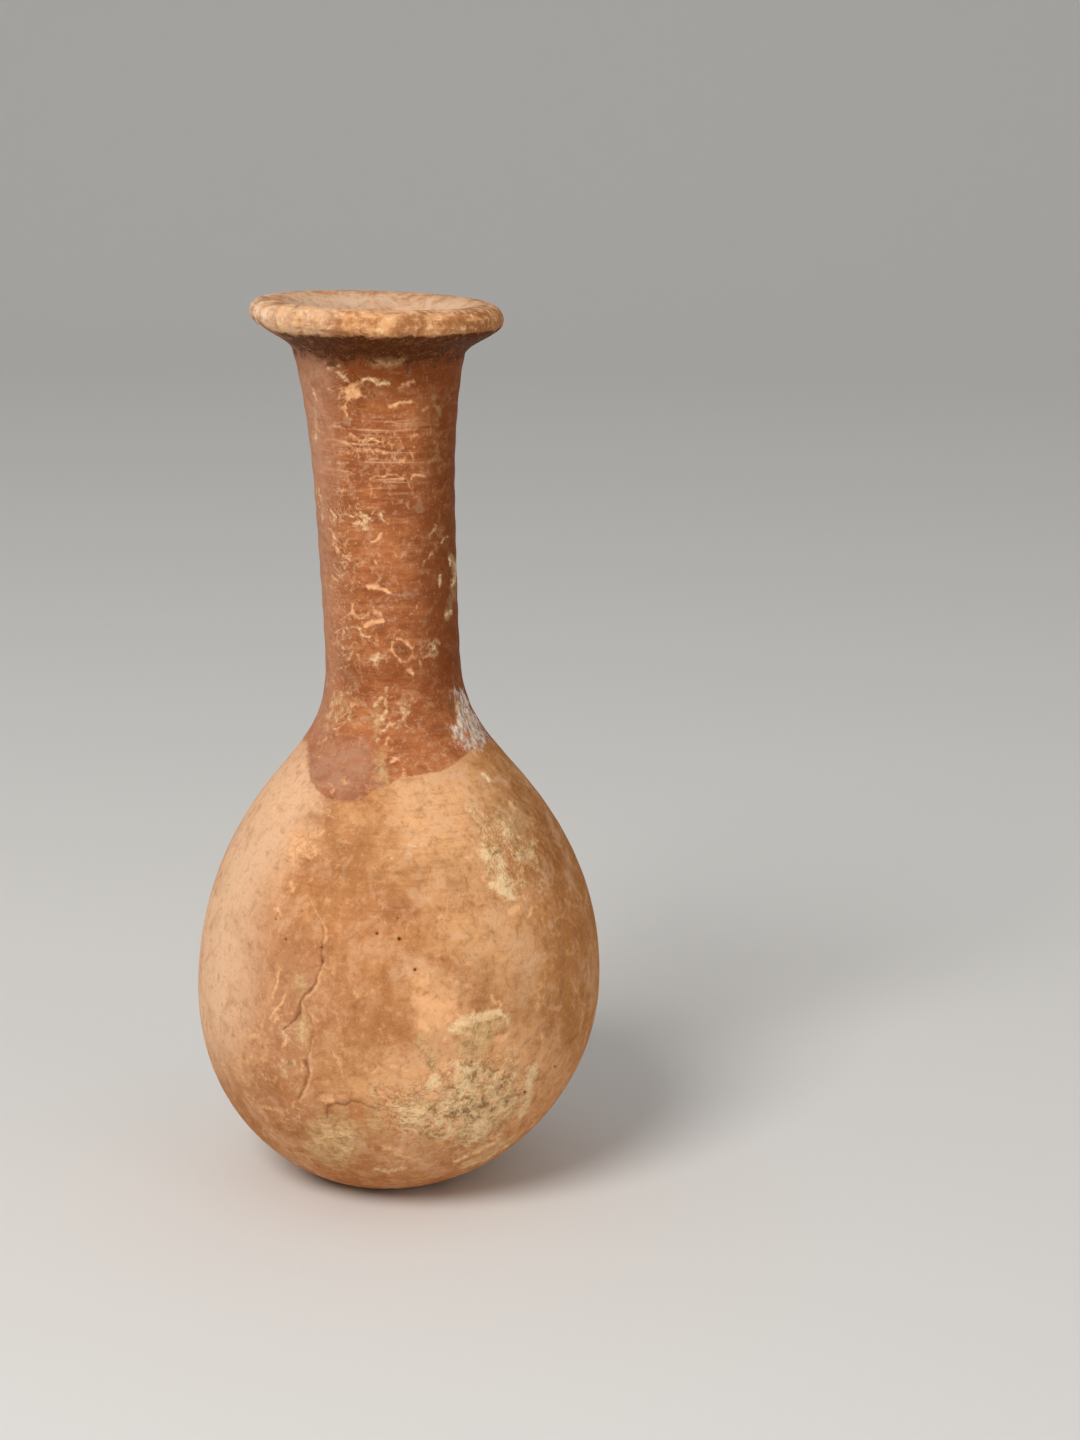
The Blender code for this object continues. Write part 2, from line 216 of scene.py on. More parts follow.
# Marks on the front, by kind. Each is its cover, its half width, its softness and its points, in
# pixels: a half width of 0 is a filled outline.
MARKS = {
    "spall": (
        # Lip: pale chips and scratches, and painted highlights along its face and lower edge
        (0.8, 1.8, 1.8, ((340, 316), (352, 315), (374, 317))),
        (0.8, 1.6, 1.6, ((318, 320), (322, 326))),
        (0.8, 1.4, 1.5, ((378, 329), (380, 333))),
        (0.9, 1.8, 1.6, ((404, 333), (416, 334))),
        (0.8, 2.2, 2.0, ((419, 326), (431, 328))),
        (0.8, 1.3, 1.3, ((462, 316), (478, 318), (495, 318))),
        (0.6, 2.0, 2.0, ((436, 318), (450, 314))),
        # Neck, top
        (0.7, 0, 2.0, ((341, 388), (349, 383), (358, 382), (361, 390), (363, 396), (357, 399),
                       (351, 401), (347, 404), (345, 400), (342, 394))),
        (0.9, 1.1, 1.3, ((346, 402), (344, 411), (346, 418))),
        (0.95, 1.7, 1.5, ((389, 406), (397, 404), (411, 402))),
        (0.7, 1.2, 2.0, ((398, 389), (407, 384), (414, 381))),
        (0.7, 1.4, 1.5, ((424, 411), (427, 408))),
        (0.7, 1.2, 1.6, ((329, 427), (342, 427), (352, 431))),
        (0.9, 1.7, 1.4, ((351, 436), (358, 440), (376, 441))),
        (0.8, 2.0, 1.6, ((354, 449), (362, 451), (371, 450))),
        (0.95, 1.6, 1.4, ((376, 450), (387, 451))),
        (0.75, 1.3, 1.4, ((388, 441), (393, 445), (391, 450))),
        (0.7, 1.1, 1.4, ((401, 440), (403, 450))),
        (0.7, 1.1, 1.3, ((387, 432), (390, 434))),
        (0.7, 1.6, 1.6, ((411, 437), (417, 434))),
        (0.8, 1.4, 1.4, ((415, 446), (414, 448))),
        (0.85, 1.8, 1.6, ((394, 458), (403, 461))),
        (0.8, 1.3, 1.4, ((410, 452), (412, 458))),
        (0.7, 1.2, 1.4, ((369, 459), (377, 458))),
        (0.6, 0.9, 1.2, ((330, 451), (352, 453))),
        (0.6, 0.9, 1.2, ((326, 463), (350, 464), (372, 462))),
        (0.8, 1.2, 1.3, ((371, 479), (378, 477), (385, 477), (393, 474), (400, 476), (405, 480))),
        (0.9, 1.4, 1.4, ((410, 478), (416, 476), (424, 476))),
        (0.8, 1.2, 1.3, ((408, 484), (411, 487))),
        (0.7, 1.4, 1.6, ((340, 489), (347, 490))),
        (0.7, 1.5, 2.0, ((369, 485), (370, 493))),
        # Neck, middle
        (0.85, 1.2, 1.3, ((331, 528), (333, 534), (336, 541))),
        (0.7, 1.2, 1.3, ((346, 541), (347, 547))),
        (0.8, 1.2, 1.3, ((332, 546), (341, 551), (346, 555), (351, 561))),
        (0.7, 1.0, 1.3, ((353, 558), (359, 557), (364, 563))),
        (1.0, 1.6, 1.3, ((373, 541), (378, 539), (382, 534))),
        (1.0, 1.8, 1.3, ((368, 586), (376, 586), (382, 589), (390, 592))),
        (0.7, 1.0, 1.3, ((359, 581), (364, 585))),
        (0.7, 1.2, 1.3, ((333, 577), (338, 581))),
        (0.7, 1.6, 1.6, ((375, 562), (376, 564))),
        (0.7, 1.2, 1.4, ((393, 553), (394, 555))),
        (0.95, 1.6, 1.4, ((353, 604), (352, 610), (355, 616), (359, 619), (363, 618))),
        (0.75, 2.4, 2.2, ((368, 613), (373, 610), (378, 614))),
        (1.0, 2.4, 1.6, ((366, 626), (369, 624), (375, 622), (382, 621))),
        (0.6, 1.6, 2.0, ((410, 604), (411, 612))),
        (0.6, 1.3, 1.6, ((417, 600), (418, 608))),
        (0.7, 1.2, 1.4, ((401, 630), (402, 631))),
        (0.85, 1.3, 1.3, ((393, 641), (399, 638), (405, 640), (410, 645))),
        (0.95, 1.3, 1.2, ((409, 643), (413, 649))),
        (0.7, 1.1, 1.3, ((413, 649), (413, 656), (408, 662), (401, 662))),
        (0.85, 1.3, 1.3, ((401, 662), (395, 657), (391, 650), (392, 642))),
        (0.9, 1.0, 1.2, ((400, 652), (402, 652))),
        (1.0, 1.8, 1.4, ((408, 671), (411, 673))),
        (0.8, 1.2, 1.4, ((425, 651), (426, 651))),
        (0.6, 1.6, 2.0, ((377, 636), (377, 646))),
        (0.7, 1.6, 1.8, ((355, 654), (358, 656))),
        # Neck, foot, and the slip's tongue
        (0.7, 1.4, 1.6, ((353, 703), (359, 706))),
        (0.75, 1.8, 1.8, ((390, 722), (393, 724))),
        (0.8, 1.4, 1.6, ((384, 744), (386, 739))),
        (0.95, 1.8, 1.5, ((392, 761), (396, 758))),
        (0.7, 2.4, 2.0, ((344, 781), (346, 782))),
        (0.6, 1.6, 2.0, ((329, 784), (332, 787))),
        (0.7, 1.8, 2.0, ((332, 793), (334, 790))),
        (0.55, 1.6, 2.0, ((404, 768), (402, 778))),
        (0.6, 2.2, 2.6, ((325, 738), (322, 744))),
        (0.7, 2.0, 2.0, ((302, 762), (303, 770))),
        # Left shoulder
        (0.7, 1.6, 1.8, ((313, 836), (320, 835), (323, 830))),
        (0.85, 1.8, 1.8, ((300, 846), (306, 842), (312, 845), (316, 850), (315, 856), (308, 857),
                          (303, 853), (297, 849))),
        (0.7, 1.6, 1.8, ((283, 850), (285, 857), (292, 859))),
        (0.6, 3.5, 4.0, ((299, 830), (302, 832))),
        (0.55, 0, 7.0, ((282, 826), (304, 824), (318, 838), (318, 860), (296, 862), (283, 856))),
        (0.9, 1.7, 1.5, ((290, 883), (292, 892))),
        (0.6, 1.0, 1.6, ((272, 896), (291, 896))),
        (0.8, 1.6, 1.6, ((277, 908), (281, 915))),
        (0.6, 1.6, 2.4, ((246, 904), (248, 913))),
        # Left of the belly: scratches and blisters beside the crack
        (0.85, 1.3, 1.3, ((279, 972), (277, 981), (274, 990), (273, 997))),
        (0.9, 1.5, 1.3, ((285, 996), (281, 1002), (277, 1007))),
        (0.95, 1.7, 1.4, ((277, 1007), (273, 1014), (270, 1019))),
        (0.7, 1.1, 1.3, ((262, 1016), (260, 1028))),
        (0.7, 1.2, 1.3, ((274, 1022), (282, 1016), (291, 1012))),
        (0.7, 2.2, 2.0, ((252, 1037), (257, 1034))),
        (0.6, 1.0, 1.4, ((236, 1000), (238, 1012), (238, 1020), (234, 1036))),
        (0.8, 1.6, 1.6, ((284, 1046), (288, 1038))),
        (0.7, 1.2, 1.4, ((262, 1058), (267, 1062))),
        (0.7, 1.2, 1.4, ((274, 1074), (277, 1082))),
        (0.7, 3.0, 3.0, ((243, 1060), (252, 1058))),
        (0.7, 2.0, 2.0, ((262, 1074), (266, 1079))),
        (0.8, 2.0, 1.8, ((301, 1063), (303, 1070))),
        (0.7, 1.1, 1.4, ((330, 1049), (337, 1058), (341, 1068), (343, 1080))),
        (0.95, 0, 1.8, ((317, 1096), (325, 1093), (332, 1097), (334, 1103), (327, 1102), (320, 1100))),
        (0.6, 1.2, 1.5, ((296, 1098), (293, 1108))),
        (0.7, 1.3, 1.4, ((380, 1029), (384, 1037))),
        (0.6, 2.4, 2.4, ((354, 990), (356, 996))),
        (0.6, 1.6, 2.0, ((375, 990), (366, 994))),
        (0.7, 1.6, 1.8, ((364, 1068), (372, 1073), (379, 1068))),
        (0.7, 1.6, 1.8, ((374, 1080), (370, 1087))),
        (0.85, 2.0, 1.8, ((392, 1067), (397, 1068))),
        (0.85, 2.2, 1.8, ((403, 1069), (406, 1070))),
        (0.95, 1.9, 1.5, ((379, 1090), (386, 1098), (393, 1107))),
        # Right of the belly
        (0.7, 0, 2.6, ((416, 974), (420, 984), (428, 986), (428, 976), (421, 979))),
        (0.95, 0, 3.0, ((414, 990), (421, 997), (432, 998), (443, 999), (453, 1000), (457, 1005),
                        (457, 1014), (450, 1022), (441, 1026), (436, 1029), (433, 1021), (431, 1011),
                        (426, 1010), (420, 1013), (413, 1008), (412, 998))),
        (1.0, 0, 1.6, ((418, 1019), (426, 1021), (430, 1033), (424, 1032), (418, 1026))),
        (0.85, 1.8, 1.6, ((443, 1040), (447, 1036), (450, 1038))),
        (0.95, 0, 1.8, ((493, 1045), (494, 1039), (500, 1035), (510, 1033), (506, 1039), (499, 1042))),
        (0.95, 2.2, 1.6, ((492, 998), (495, 1003))),
        (0.95, 1.8, 1.4, ((499, 1001), (502, 1005))),
        (0.9, 1.7, 1.2, ((541, 1033), (543, 1040))),
        (0.85, 1.6, 1.4, ((519, 955), (522, 957))),
        (0.7, 1.3, 1.4, ((544, 960), (546, 962))),
        (0.7, 2.0, 2.0, ((446, 978), (456, 981))),
        (0.7, 2.2, 2.2, ((461, 985), (472, 987))),
        (0.6, 1.6, 2.0, ((433, 956), (440, 956))),
        (0.5, 0, 6.0, ((528, 985), (545, 982), (550, 1000), (540, 1012), (527, 1004))),
        # Right shoulder
        (0.9, 2.4, 2.0, ((512, 804), (514, 809))),
        (0.85, 2.2, 1.8, ((516, 836), (517, 837))),
        (0.8, 1.8, 1.8, ((467, 836), (471, 838))),
        (0.85, 1.8, 1.8, ((473, 848), (476, 849))),
        (0.8, 2.6, 2.0, ((466, 857), (471, 858))),
        (0.8, 1.8, 1.6, ((507, 848), (513, 850))),
        (0.85, 2.0, 1.8, ((482, 879), (485, 880))),
        (0.8, 2.4, 2.0, ((519, 897), (524, 896))),
        (0.95, 3.2, 1.8, ((510, 912), (515, 908), (518, 908))),
        (0.9, 1.7, 1.5, ((529, 915), (532, 906))),
        (0.8, 1.4, 1.4, ((506, 921), (507, 925))),
        (0.6, 1.0, 1.4, ((574, 884), (582, 898), (589, 906))),
        # Low right
        (0.8, 0, 2.4, ((459, 1085), (470, 1086), (471, 1099), (463, 1102), (458, 1094))),
        (0.8, 0, 3.0, ((438, 1060), (450, 1056), (459, 1062), (458, 1074), (448, 1078), (438, 1072))),
        (0.8, 2.4, 2.2, ((470, 1138), (476, 1134))),
        (0.85, 2.4, 2.0, ((486, 1141), (494, 1136))),
        (0.75, 3.4, 2.6, ((385, 1148), (400, 1149))),
        (0.7, 2.4, 2.4, ((402, 1158), (420, 1160))),
        (0.6, 2.6, 2.6, ((276, 1122), (298, 1118))),
        (0.6, 2.0, 2.4, ((262, 1106), (290, 1112))),
    ),
    "lime": (
        # Lip: cream dabs, and painted highlights along its lower edge
        (0.8, 2.0, 2.0, ((257, 321), (263, 325))),
        (0.7, 1.8, 1.8, ((276, 322), (282, 327))),
        (0.6, 2.0, 2.0, ((298, 329), (309, 331))),
        (0.6, 1.6, 2.0, ((352, 331), (362, 334))),
        # Neck
        (0.6, 2.2, 2.4, ((329, 369), (338, 366))),
        (0.6, 2.0, 2.4, ((338, 373), (346, 379))),
        (0.6, 1.2, 1.6, ((313, 391), (319, 401))),
        (0.85, 2.4, 2.2, ((363, 381), (370, 379), (378, 382), (387, 383))),
        (0.5, 3.0, 3.6, ((314, 412), (316, 440))),
        (0.55, 2.4, 3.4, ((319, 488), (323, 520))),
        (0.8, 1.2, 1.3, ((331, 512), (336, 517), (334, 521))),
        (0.8, 1.5, 1.4, ((345, 514), (352, 516), (360, 513), (366, 518))),
        (0.8, 1.4, 1.4, ((352, 522), (362, 523), (371, 519))),
        (0.7, 1.5, 1.6, ((351, 528), (366, 528))),
        (0.8, 1.2, 1.3, ((380, 515), (383, 522), (388, 524))),
        (0.6, 1.4, 1.6, ((351, 498), (362, 498))),
        (0.62, 0, 2.6, ((368, 657), (371, 652), (379, 651), (385, 656), (384, 663), (377, 667),
                        (370, 663))),
        (0.75, 1.1, 1.3, ((345, 630), (353, 627), (361, 629))),
        (0.75, 1.1, 1.3, ((360, 631), (364, 635), (369, 637))),
        (0.6, 1.2, 1.6, ((343, 634), (350, 638))),
        (0.6, 0, 4.0, ((429, 640), (438, 640), (438, 656), (430, 656))),
        (0.85, 1.4, 1.4, ((449, 558), (449, 566))),
        (0.75, 1.9, 1.8, ((453, 562), (455, 575), (453, 586))),
        (0.85, 1.6, 1.5, ((447, 617), (451, 612))),
        (0.65, 1.6, 1.6, ((440, 576), (440, 586))),
        (0.6, 1.4, 1.8, ((431, 536), (438, 525))),
        (0.65, 1.3, 1.6, ((442, 542), (447, 536))),
        (0.6, 1.4, 1.6, ((424, 560), (432, 552))),
        (0.7, 2.0, 2.0, ((393, 687), (388, 688), (384, 694), (380, 700), (374, 706))),
        (0.75, 1.9, 2.0, ((386, 699), (385, 710), (383, 718))),
        (0.7, 1.0, 1.3, ((389, 724), (383, 730), (380, 736), (377, 741))),
        (0.6, 1.1, 1.6, ((351, 690), (350, 705), (349, 718), (343, 724), (335, 729), (330, 737))),
        (0.5, 1.2, 2.0, ((334, 690), (332, 706), (327, 722), (318, 738))),
        (0.5, 0, 5.0, ((398, 700), (410, 698), (410, 726), (396, 728))),
        # Shoulder, under the slip
        (0.6, 1.0, 1.5, ((300, 786), (312, 798), (330, 810))),
        (0.6, 1.0, 1.5, ((308, 802), (322, 812), (338, 818))),
        (0.6, 1.4, 2.0, ((274, 812), (278, 800), (280, 790))),
        (0.5, 2.0, 3.0, ((255, 836), (250, 846))),
        (0.6, 1.1, 1.5, ((400, 843), (415, 846), (427, 842))),
        (0.5, 1.1, 1.8, ((382, 856), (400, 858), (412, 855))),
        # Right shoulder
        (1.0, 1.8, 1.5, ((482, 774), (487, 776), (491, 781))),
        (0.6, 0, 6.0, ((462, 808), (466, 801), (475, 799), (480, 808), (474, 814), (468, 813))),
        (0.6, 4.0, 6.0, ((470, 810), (478, 819), (485, 827), (486, 837))),
        (0.9, 1.8, 1.6, ((481, 842), (484, 845))),
        (1.0, 4.2, 2.4, ((484, 851), (488, 858))),
        (1.0, 4.2, 2.6, ((499, 884), (508, 893))),
        (0.9, 0, 5.0, ((477, 853), (486, 846), (491, 849), (492, 860), (487, 862), (480, 858))),
        (0.9, 1.8, 1.6, ((500, 857), (504, 867))),
        (0.8, 0, 5.4, ((493, 874), (505, 869), (511, 880), (517, 892), (514, 899), (503, 897),
                       (494, 889), (490, 882))),
        (1.0, 2.6, 2.4, ((492, 883), (498, 890), (506, 895), (515, 898))),
        (0.9, 1.4, 1.4, ((511, 885), (516, 890))),
        (0.6, 2.4, 4.0, ((534, 842), (531, 850), (536, 862))),
        (0.6, 2.2, 2.8, ((540, 884), (544, 895))),
        # Right of the belly
        (0.95, 4.4, 3.2, ((452, 1030), (460, 1024), (468, 1020), (477, 1018), (487, 1015),
                          (498, 1013))),
        (0.75, 1.6, 1.8, ((500, 1013), (508, 1019), (506, 1028))),
        (1.0, 0, 1.8, ((425, 1086), (430, 1077), (436, 1074), (441, 1079), (441, 1086), (434, 1089),
                       (428, 1091))),
        (0.6, 1.3, 1.6, ((507, 1050), (515, 1047), (520, 1052))),
        (0.6, 1.3, 1.6, ((506, 1058), (516, 1062), (523, 1058))),
        # The low crust
        (0.34, 0, 9.0, ((378, 1096), (430, 1088), (462, 1062), (505, 1062), (535, 1078), (530, 1112),
                        (498, 1140), (455, 1142), (405, 1130), (380, 1116))),
        (0.7, 0, 5.0, ((436, 1092), (452, 1088), (462, 1098), (456, 1108), (440, 1104))),
        (0.9, 1.6, 1.5, ((462, 1064), (468, 1068), (471, 1076))),
        (0.9, 1.6, 1.5, ((478, 1070), (484, 1075), (482, 1083), (475, 1086))),
        (0.9, 1.6, 1.5, ((490, 1072), (496, 1079), (499, 1086), (490, 1088))),
        (0.85, 1.4, 1.5, ((499, 1076), (506, 1080), (512, 1078))),
        (0.95, 2.6, 2.0, ((448, 1102), (454, 1107), (458, 1106))),
        (0.85, 2.2, 2.0, ((396, 1106), (402, 1111))),
        (0.8, 2.2, 2.0, ((402, 1128), (412, 1131))),
        (0.95, 0, 2.6, ((473, 1122), (484, 1118), (492, 1124), (490, 1134), (480, 1136), (473, 1130))),
        (0.9, 2.0, 1.8, ((466, 1146), (474, 1140), (478, 1134))),
        (0.85, 1.6, 1.6, ((496, 1122), (504, 1118), (510, 1110))),
        (1.0, 4.4, 3.0, ((533, 1068), (529, 1081), (528, 1090))),
        (1.0, 3.8, 3.0, ((529, 1096), (525, 1106), (520, 1116))),
        (0.8, 1.6, 1.6, ((508, 1104), (516, 1098))),
        (0.75, 1.6, 1.8, ((424, 1112), (436, 1116))),
        (0.75, 1.6, 1.8, ((440, 1124), (450, 1128), (458, 1124))),
        (0.8, 1.8, 2.0, ((454, 1160), (476, 1152), (500, 1140))),
        (0.7, 1.6, 2.0, ((462, 1168), (487, 1158), (508, 1146))),
        (0.65, 2.2, 2.4, ((374, 1168), (390, 1171), (404, 1168))),
        # Low left
        (0.6, 1.8, 2.4, ((330, 1128), (334, 1139))),
        (0.4, 1.6, 3.0, ((320, 1122), (318, 1136))),
        (0.4, 1.6, 3.4, ((340, 1120), (352, 1128), (350, 1142))),
    ),
    "green": (
        (0.8, 0, 3.0, ((366, 361), (380, 358), (402, 357), (412, 357), (404, 363), (388, 369),
                       (374, 369))),
        (0.55, 2.4, 3.0, ((436, 398), (438, 424))),
        (0.35, 0, 6.0, ((428, 430), (444, 428), (446, 468), (432, 474))),
        (0.4, 0, 4.0, ((430, 540), (441, 518), (446, 528), (436, 548))),
        (0.7, 2.6, 2.6, ((452, 556), (456, 574), (453, 596), (449, 618))),
        (0.55, 0, 5.0, ((336, 690), (350, 688), (349, 716), (330, 728))),
        (0.55, 0, 4.0, ((375, 746), (383, 747), (387, 757), (391, 768), (392, 777), (387, 785),
                        (379, 785), (373, 775), (371, 762))),
        (0.6, 0, 5.0, ((372, 706), (382, 704), (384, 722), (378, 744), (372, 740))),
        (0.6, 0, 5.0, ((488, 812), (500, 809), (508, 822), (504, 836), (490, 836))),
        (0.6, 0, 8.0, ((486, 800), (522, 806), (532, 836), (524, 858), (500, 850), (486, 826))),
        (0.75, 2.8, 3.2, ((532, 842), (530, 852), (535, 864))),
        (0.7, 0, 4.0, ((494, 872), (508, 872), (510, 886), (498, 886))),
        (0.85, 0, 4.4, ((454, 1032), (475, 1020), (500, 1014), (509, 1019), (506, 1029), (497, 1034),
                        (490, 1044), (486, 1054), (475, 1060), (462, 1058), (455, 1049), (459, 1041))),
        (0.85, 0, 2.8, ((411, 1034), (420, 1034), (427, 1040), (428, 1047), (433, 1052), (438, 1051),
                        (436, 1062), (434, 1073), (429, 1071), (427, 1060), (421, 1049), (413, 1044))),
        (0.45, 0, 6.0, ((446, 1052), (470, 1060), (510, 1064), (516, 1084), (498, 1100), (470, 1104),
                        (446, 1096))),
        (0.38, 0, 9.0, ((380, 1096), (430, 1092), (480, 1096), (520, 1096), (504, 1132), (470, 1148),
                        (420, 1140), (386, 1126))),
        (0.55, 0, 6.0, ((288, 976), (308, 970), (313, 986), (302, 1000), (290, 998))),
        (0.6, 0, 4.4, ((296, 1014), (307, 1014), (311, 1028), (308, 1048), (296, 1044))),
        (0.75, 0, 7.0, ((306, 1130), (318, 1114), (346, 1112), (360, 1124), (364, 1152), (344, 1170),
                        (318, 1164), (305, 1148))),
        (0.6, 0, 6.0, ((362, 1108), (384, 1110), (392, 1132), (380, 1142), (366, 1130))),
        (0.8, 2.6, 2.6, ((460, 1166), (482, 1158), (512, 1140))),
        (0.6, 3.0, 3.4, ((232, 870), (224, 892))),
        (0.4, 0, 5.0, ((520, 1074), (533, 1072), (532, 1100), (522, 1118))),
        (0.6, 1.6, 2.4, ((507, 1054), (522, 1062))),
    ),
    "chalk": (
        (0.6, 0, 3.6, ((450, 688), (462, 686), (474, 710), (490, 738), (478, 752), (460, 748),
                       (450, 730), (456, 712))),
        (0.9, 1.8, 1.6, ((461, 692), (465, 701), (471, 711), (478, 723))),
        (0.8, 1.4, 1.6, ((458, 714), (457, 730))),
        (0.9, 1.6, 1.6, ((464, 720), (467, 727), (471, 731))),
        (0.55, 1.2, 1.6, ((486, 775), (490, 780))),
        (0.6, 1.2, 1.6, ((258, 296), (268, 294))),
        (0.45, 0, 5.0, ((458, 296), (494, 300), (502, 306), (478, 308))),
    ),
    "pale": (
        (0.7, 0, 7, ((352, 302), (440, 300), (442, 330), (352, 334))),
        (0.9, 0, 8, ((402, 966), (440, 962), (468, 990), (462, 1030), (420, 1038), (402, 1010))),
        (0.95, 0, 12, ((380, 1062), (450, 1050), (540, 1030), (560, 1070), (530, 1120), (480, 1150),
                       (400, 1140), (372, 1100))),
        (0.95, 0, 6, ((514, 1064), (540, 1062), (540, 1100), (524, 1122), (510, 1104))),
        (0.55, 0, 10, ((376, 796), (400, 788), (404, 880), (380, 884))),
        (0.6, 0, 8, ((342, 806), (376, 804), (380, 828), (346, 830))),
        (0.95, 0, 12, ((394, 780), (470, 764), (490, 790), (470, 860), (410, 860), (392, 820))),
        (0.7, 0, 16, ((440, 880), (530, 900), (540, 960), (500, 990), (440, 960), (430, 900))),
        (0.7, 0, 8, ((466, 800), (490, 800), (500, 840), (520, 880), (512, 904), (486, 890),
                     (474, 850))),
        (0.4, 0, 9, ((270, 776), (302, 770), (304, 800), (262, 840), (250, 830))),
        (0.6, 0, 9, ((376, 1142), (440, 1146), (420, 1170), (376, 1166))),
        (0.6, 0, 8, ((284, 826), (318, 822), (322, 860), (286, 864))),
        (0.6, 0, 8, ((330, 1086), (400, 1060), (410, 1090), (340, 1108))),
        (0.5, 0, 9, ((262, 1040), (240, 1040), (232, 1070), (252, 1080))),
    ),
    "lace": (
        (0.9, 0, 6.0, ((327, 496), (350, 494), (374, 506), (381, 520), (368, 531), (345, 531),
                       (329, 521))),
        (0.7, 0, 5.0, ((334, 626), (366, 625), (369, 643), (352, 655), (338, 646))),
        (0.8, 0, 6.0, ((340, 430), (392, 428), (408, 450), (396, 466), (344, 460))),
        (0.6, 0, 6.0, ((404, 640), (440, 636), (442, 664), (414, 672))),
        (0.7, 0, 9.0, ((324, 480), (356, 480), (364, 620), (360, 730), (320, 740), (326, 620))),
        (0.3, 0, 8.0, ((400, 420), (446, 420), (452, 560), (444, 640), (420, 640), (414, 500))),
        (0.6, 0, 6.0, ((326, 366), (360, 364), (380, 400), (340, 420), (322, 400))),
        (0.8, 0, 6.0, ((284, 828), (308, 824), (320, 842), (316, 860), (290, 862))),
        (0.8, 0, 8.0, ((466, 800), (498, 804), (528, 836), (540, 880), (520, 906), (486, 880),
                       (472, 836))),
        (0.42, 0, 10.0, ((244, 996), (290, 980), (330, 990), (330, 1060), (290, 1090), (240, 1084),
                         (232, 1040))),
        (0.9, 0, 8.0, ((370, 1080), (424, 1080), (446, 1056), (470, 1050), (510, 1050), (540, 1070),
                       (536, 1112), (500, 1146), (470, 1150), (420, 1146), (374, 1130))),
        (0.4, 0, 6.0, ((308, 1128), (322, 1114), (346, 1112), (358, 1126), (360, 1152), (342, 1168),
                       (318, 1160))),
        (0.5, 0, 6.0, ((326, 690), (350, 686), (352, 730), (322, 744))),
        (0.5, 0, 6.0, ((374, 684), (398, 684), (396, 740), (372, 744))),
        (0.6, 0, 7.0, ((380, 1144), (430, 1146), (500, 1148), (470, 1172), (380, 1172))),
    ),
    "rough": (
        (0.5, 0, 8.0, ((470, 800), (500, 800), (530, 836), (538, 880), (516, 904), (488, 878),
                       (474, 836))),
        (0.30, 0, 10.0, ((236, 1036), (290, 1020), (312, 1070), (280, 1096), (240, 1084))),
        (0.8, 0, 9.0, ((376, 1092), (424, 1092), (446, 1068), (470, 1058), (500, 1058), (520, 1072),
                       (516, 1114), (500, 1138), (470, 1148), (420, 1138), (384, 1124))),
        (0.25, 0, 6.0, ((306, 1128), (320, 1114), (346, 1112), (360, 1126), (362, 1154), (344, 1168),
                        (318, 1162))),
        (0.3, 0, 4.0, ((452, 700), (462, 692), (482, 734), (472, 752), (454, 748))),
    ),
    "grime_and_shadow": (
        (0.8, 1.0, 1.4, ((362, 388), (372, 387), (386, 389))),
        (0.75, 0, 2.0, ((395, 644), (403, 642), (410, 649), (409, 658), (402, 659), (394, 652))),
        (0.75, 0.8, 1.2, ((346, 556), (352, 566), (362, 584), (372, 600), (381, 612))),
        (0.6, 1.2, 1.6, ((347, 662), (347, 680), (345, 700))),
        (0.55, 2.0, 3.0, ((240, 1092), (262, 1096), (291, 1091))),
        (0.55, 2.0, 3.0, ((258, 1104), (280, 1106))),
        (0.55, 0.9, 1.6, ((455, 910), (465, 905), (480, 900), (490, 896))),
        # Painted shadows of small ridges down the neck's right side
        (0.75, 1.0, 1.4, ((440, 448), (453, 444))),
        (0.75, 1.0, 1.4, ((442, 468), (453, 460))),
        (0.7, 1.0, 1.4, ((440, 484), (452, 476))),
        (0.8, 1.3, 1.4, ((571, 1043), (579, 1033))),
        (0.85, 0.9, 1.2, ((489, 1067), (492, 1072), (487, 1079))),
        (0.8, 0.9, 1.2, ((465, 1074), (467, 1083))),
        (0.85, 1.0, 1.2, ((499, 1088), (508, 1084))),
        (0.9, 1.0, 1.2, ((498, 1103), (503, 1100), (510, 1097), (519, 1094))),
        (0.75, 0.9, 1.2, ((448, 1086), (456, 1090))),
        (0.75, 0.9, 1.2, ((472, 1108), (480, 1104), (488, 1105))),
        (0.8, 0.9, 1.2, ((496, 1124), (500, 1120), (506, 1119))),
        (0.7, 1.1, 1.4, ((413, 1042), (420, 1048), (426, 1056), (430, 1067))),
        (0.65, 1.0, 1.4, ((376, 1112), (386, 1110))),
        (0.7, 1.0, 1.3, ((397, 1096), (402, 1102))),
        (0.7, 1.0, 1.3, ((410, 1101), (416, 1097))),
        (0.6, 0, 3.0, ((444, 700), (455, 690), (459, 706), (456, 724), (448, 716))),
        (0.7, 1.0, 1.3, ((468, 738), (474, 746))),
        (0.6, 1.2, 1.6, ((455, 752), (462, 758))),
        (0.8, 2.0, 2.0, ((329, 1106), (336, 1103), (346, 1105))),
        (0.55, 1.0, 1.6, ((331, 832), (350, 828), (368, 832))),
        (0.55, 1.2, 2.0, ((330, 846), (352, 848), (376, 844))),
    ),
    "rosy": (
        (1.0, 0, 26, ((240, 940), (300, 930), (330, 960), (330, 1020), (320, 1060), (270, 1090),
                      (232, 1060), (228, 980))),
        (0.9, 0, 16, ((270, 1100), (320, 1104), (310, 1140), (290, 1136))),
        (0.8, 0, 12, ((375, 1135), (410, 1130), (440, 1150), (410, 1165), (375, 1158))),
        (0.8, 0, 14, ((284, 820), (322, 818), (330, 850), (300, 866), (282, 850))),
        (0.8, 0, 12, ((460, 975), (500, 980), (490, 1005), (462, 1000))),
        (1.0, 0, 9, ((312, 744), (340, 740), (368, 748), (372, 780), (352, 796), (326, 794),
                     (312, 778))),
        (0.9, 0, 10, ((318, 640), (338, 640), (340, 700), (322, 740), (300, 745), (318, 700))),
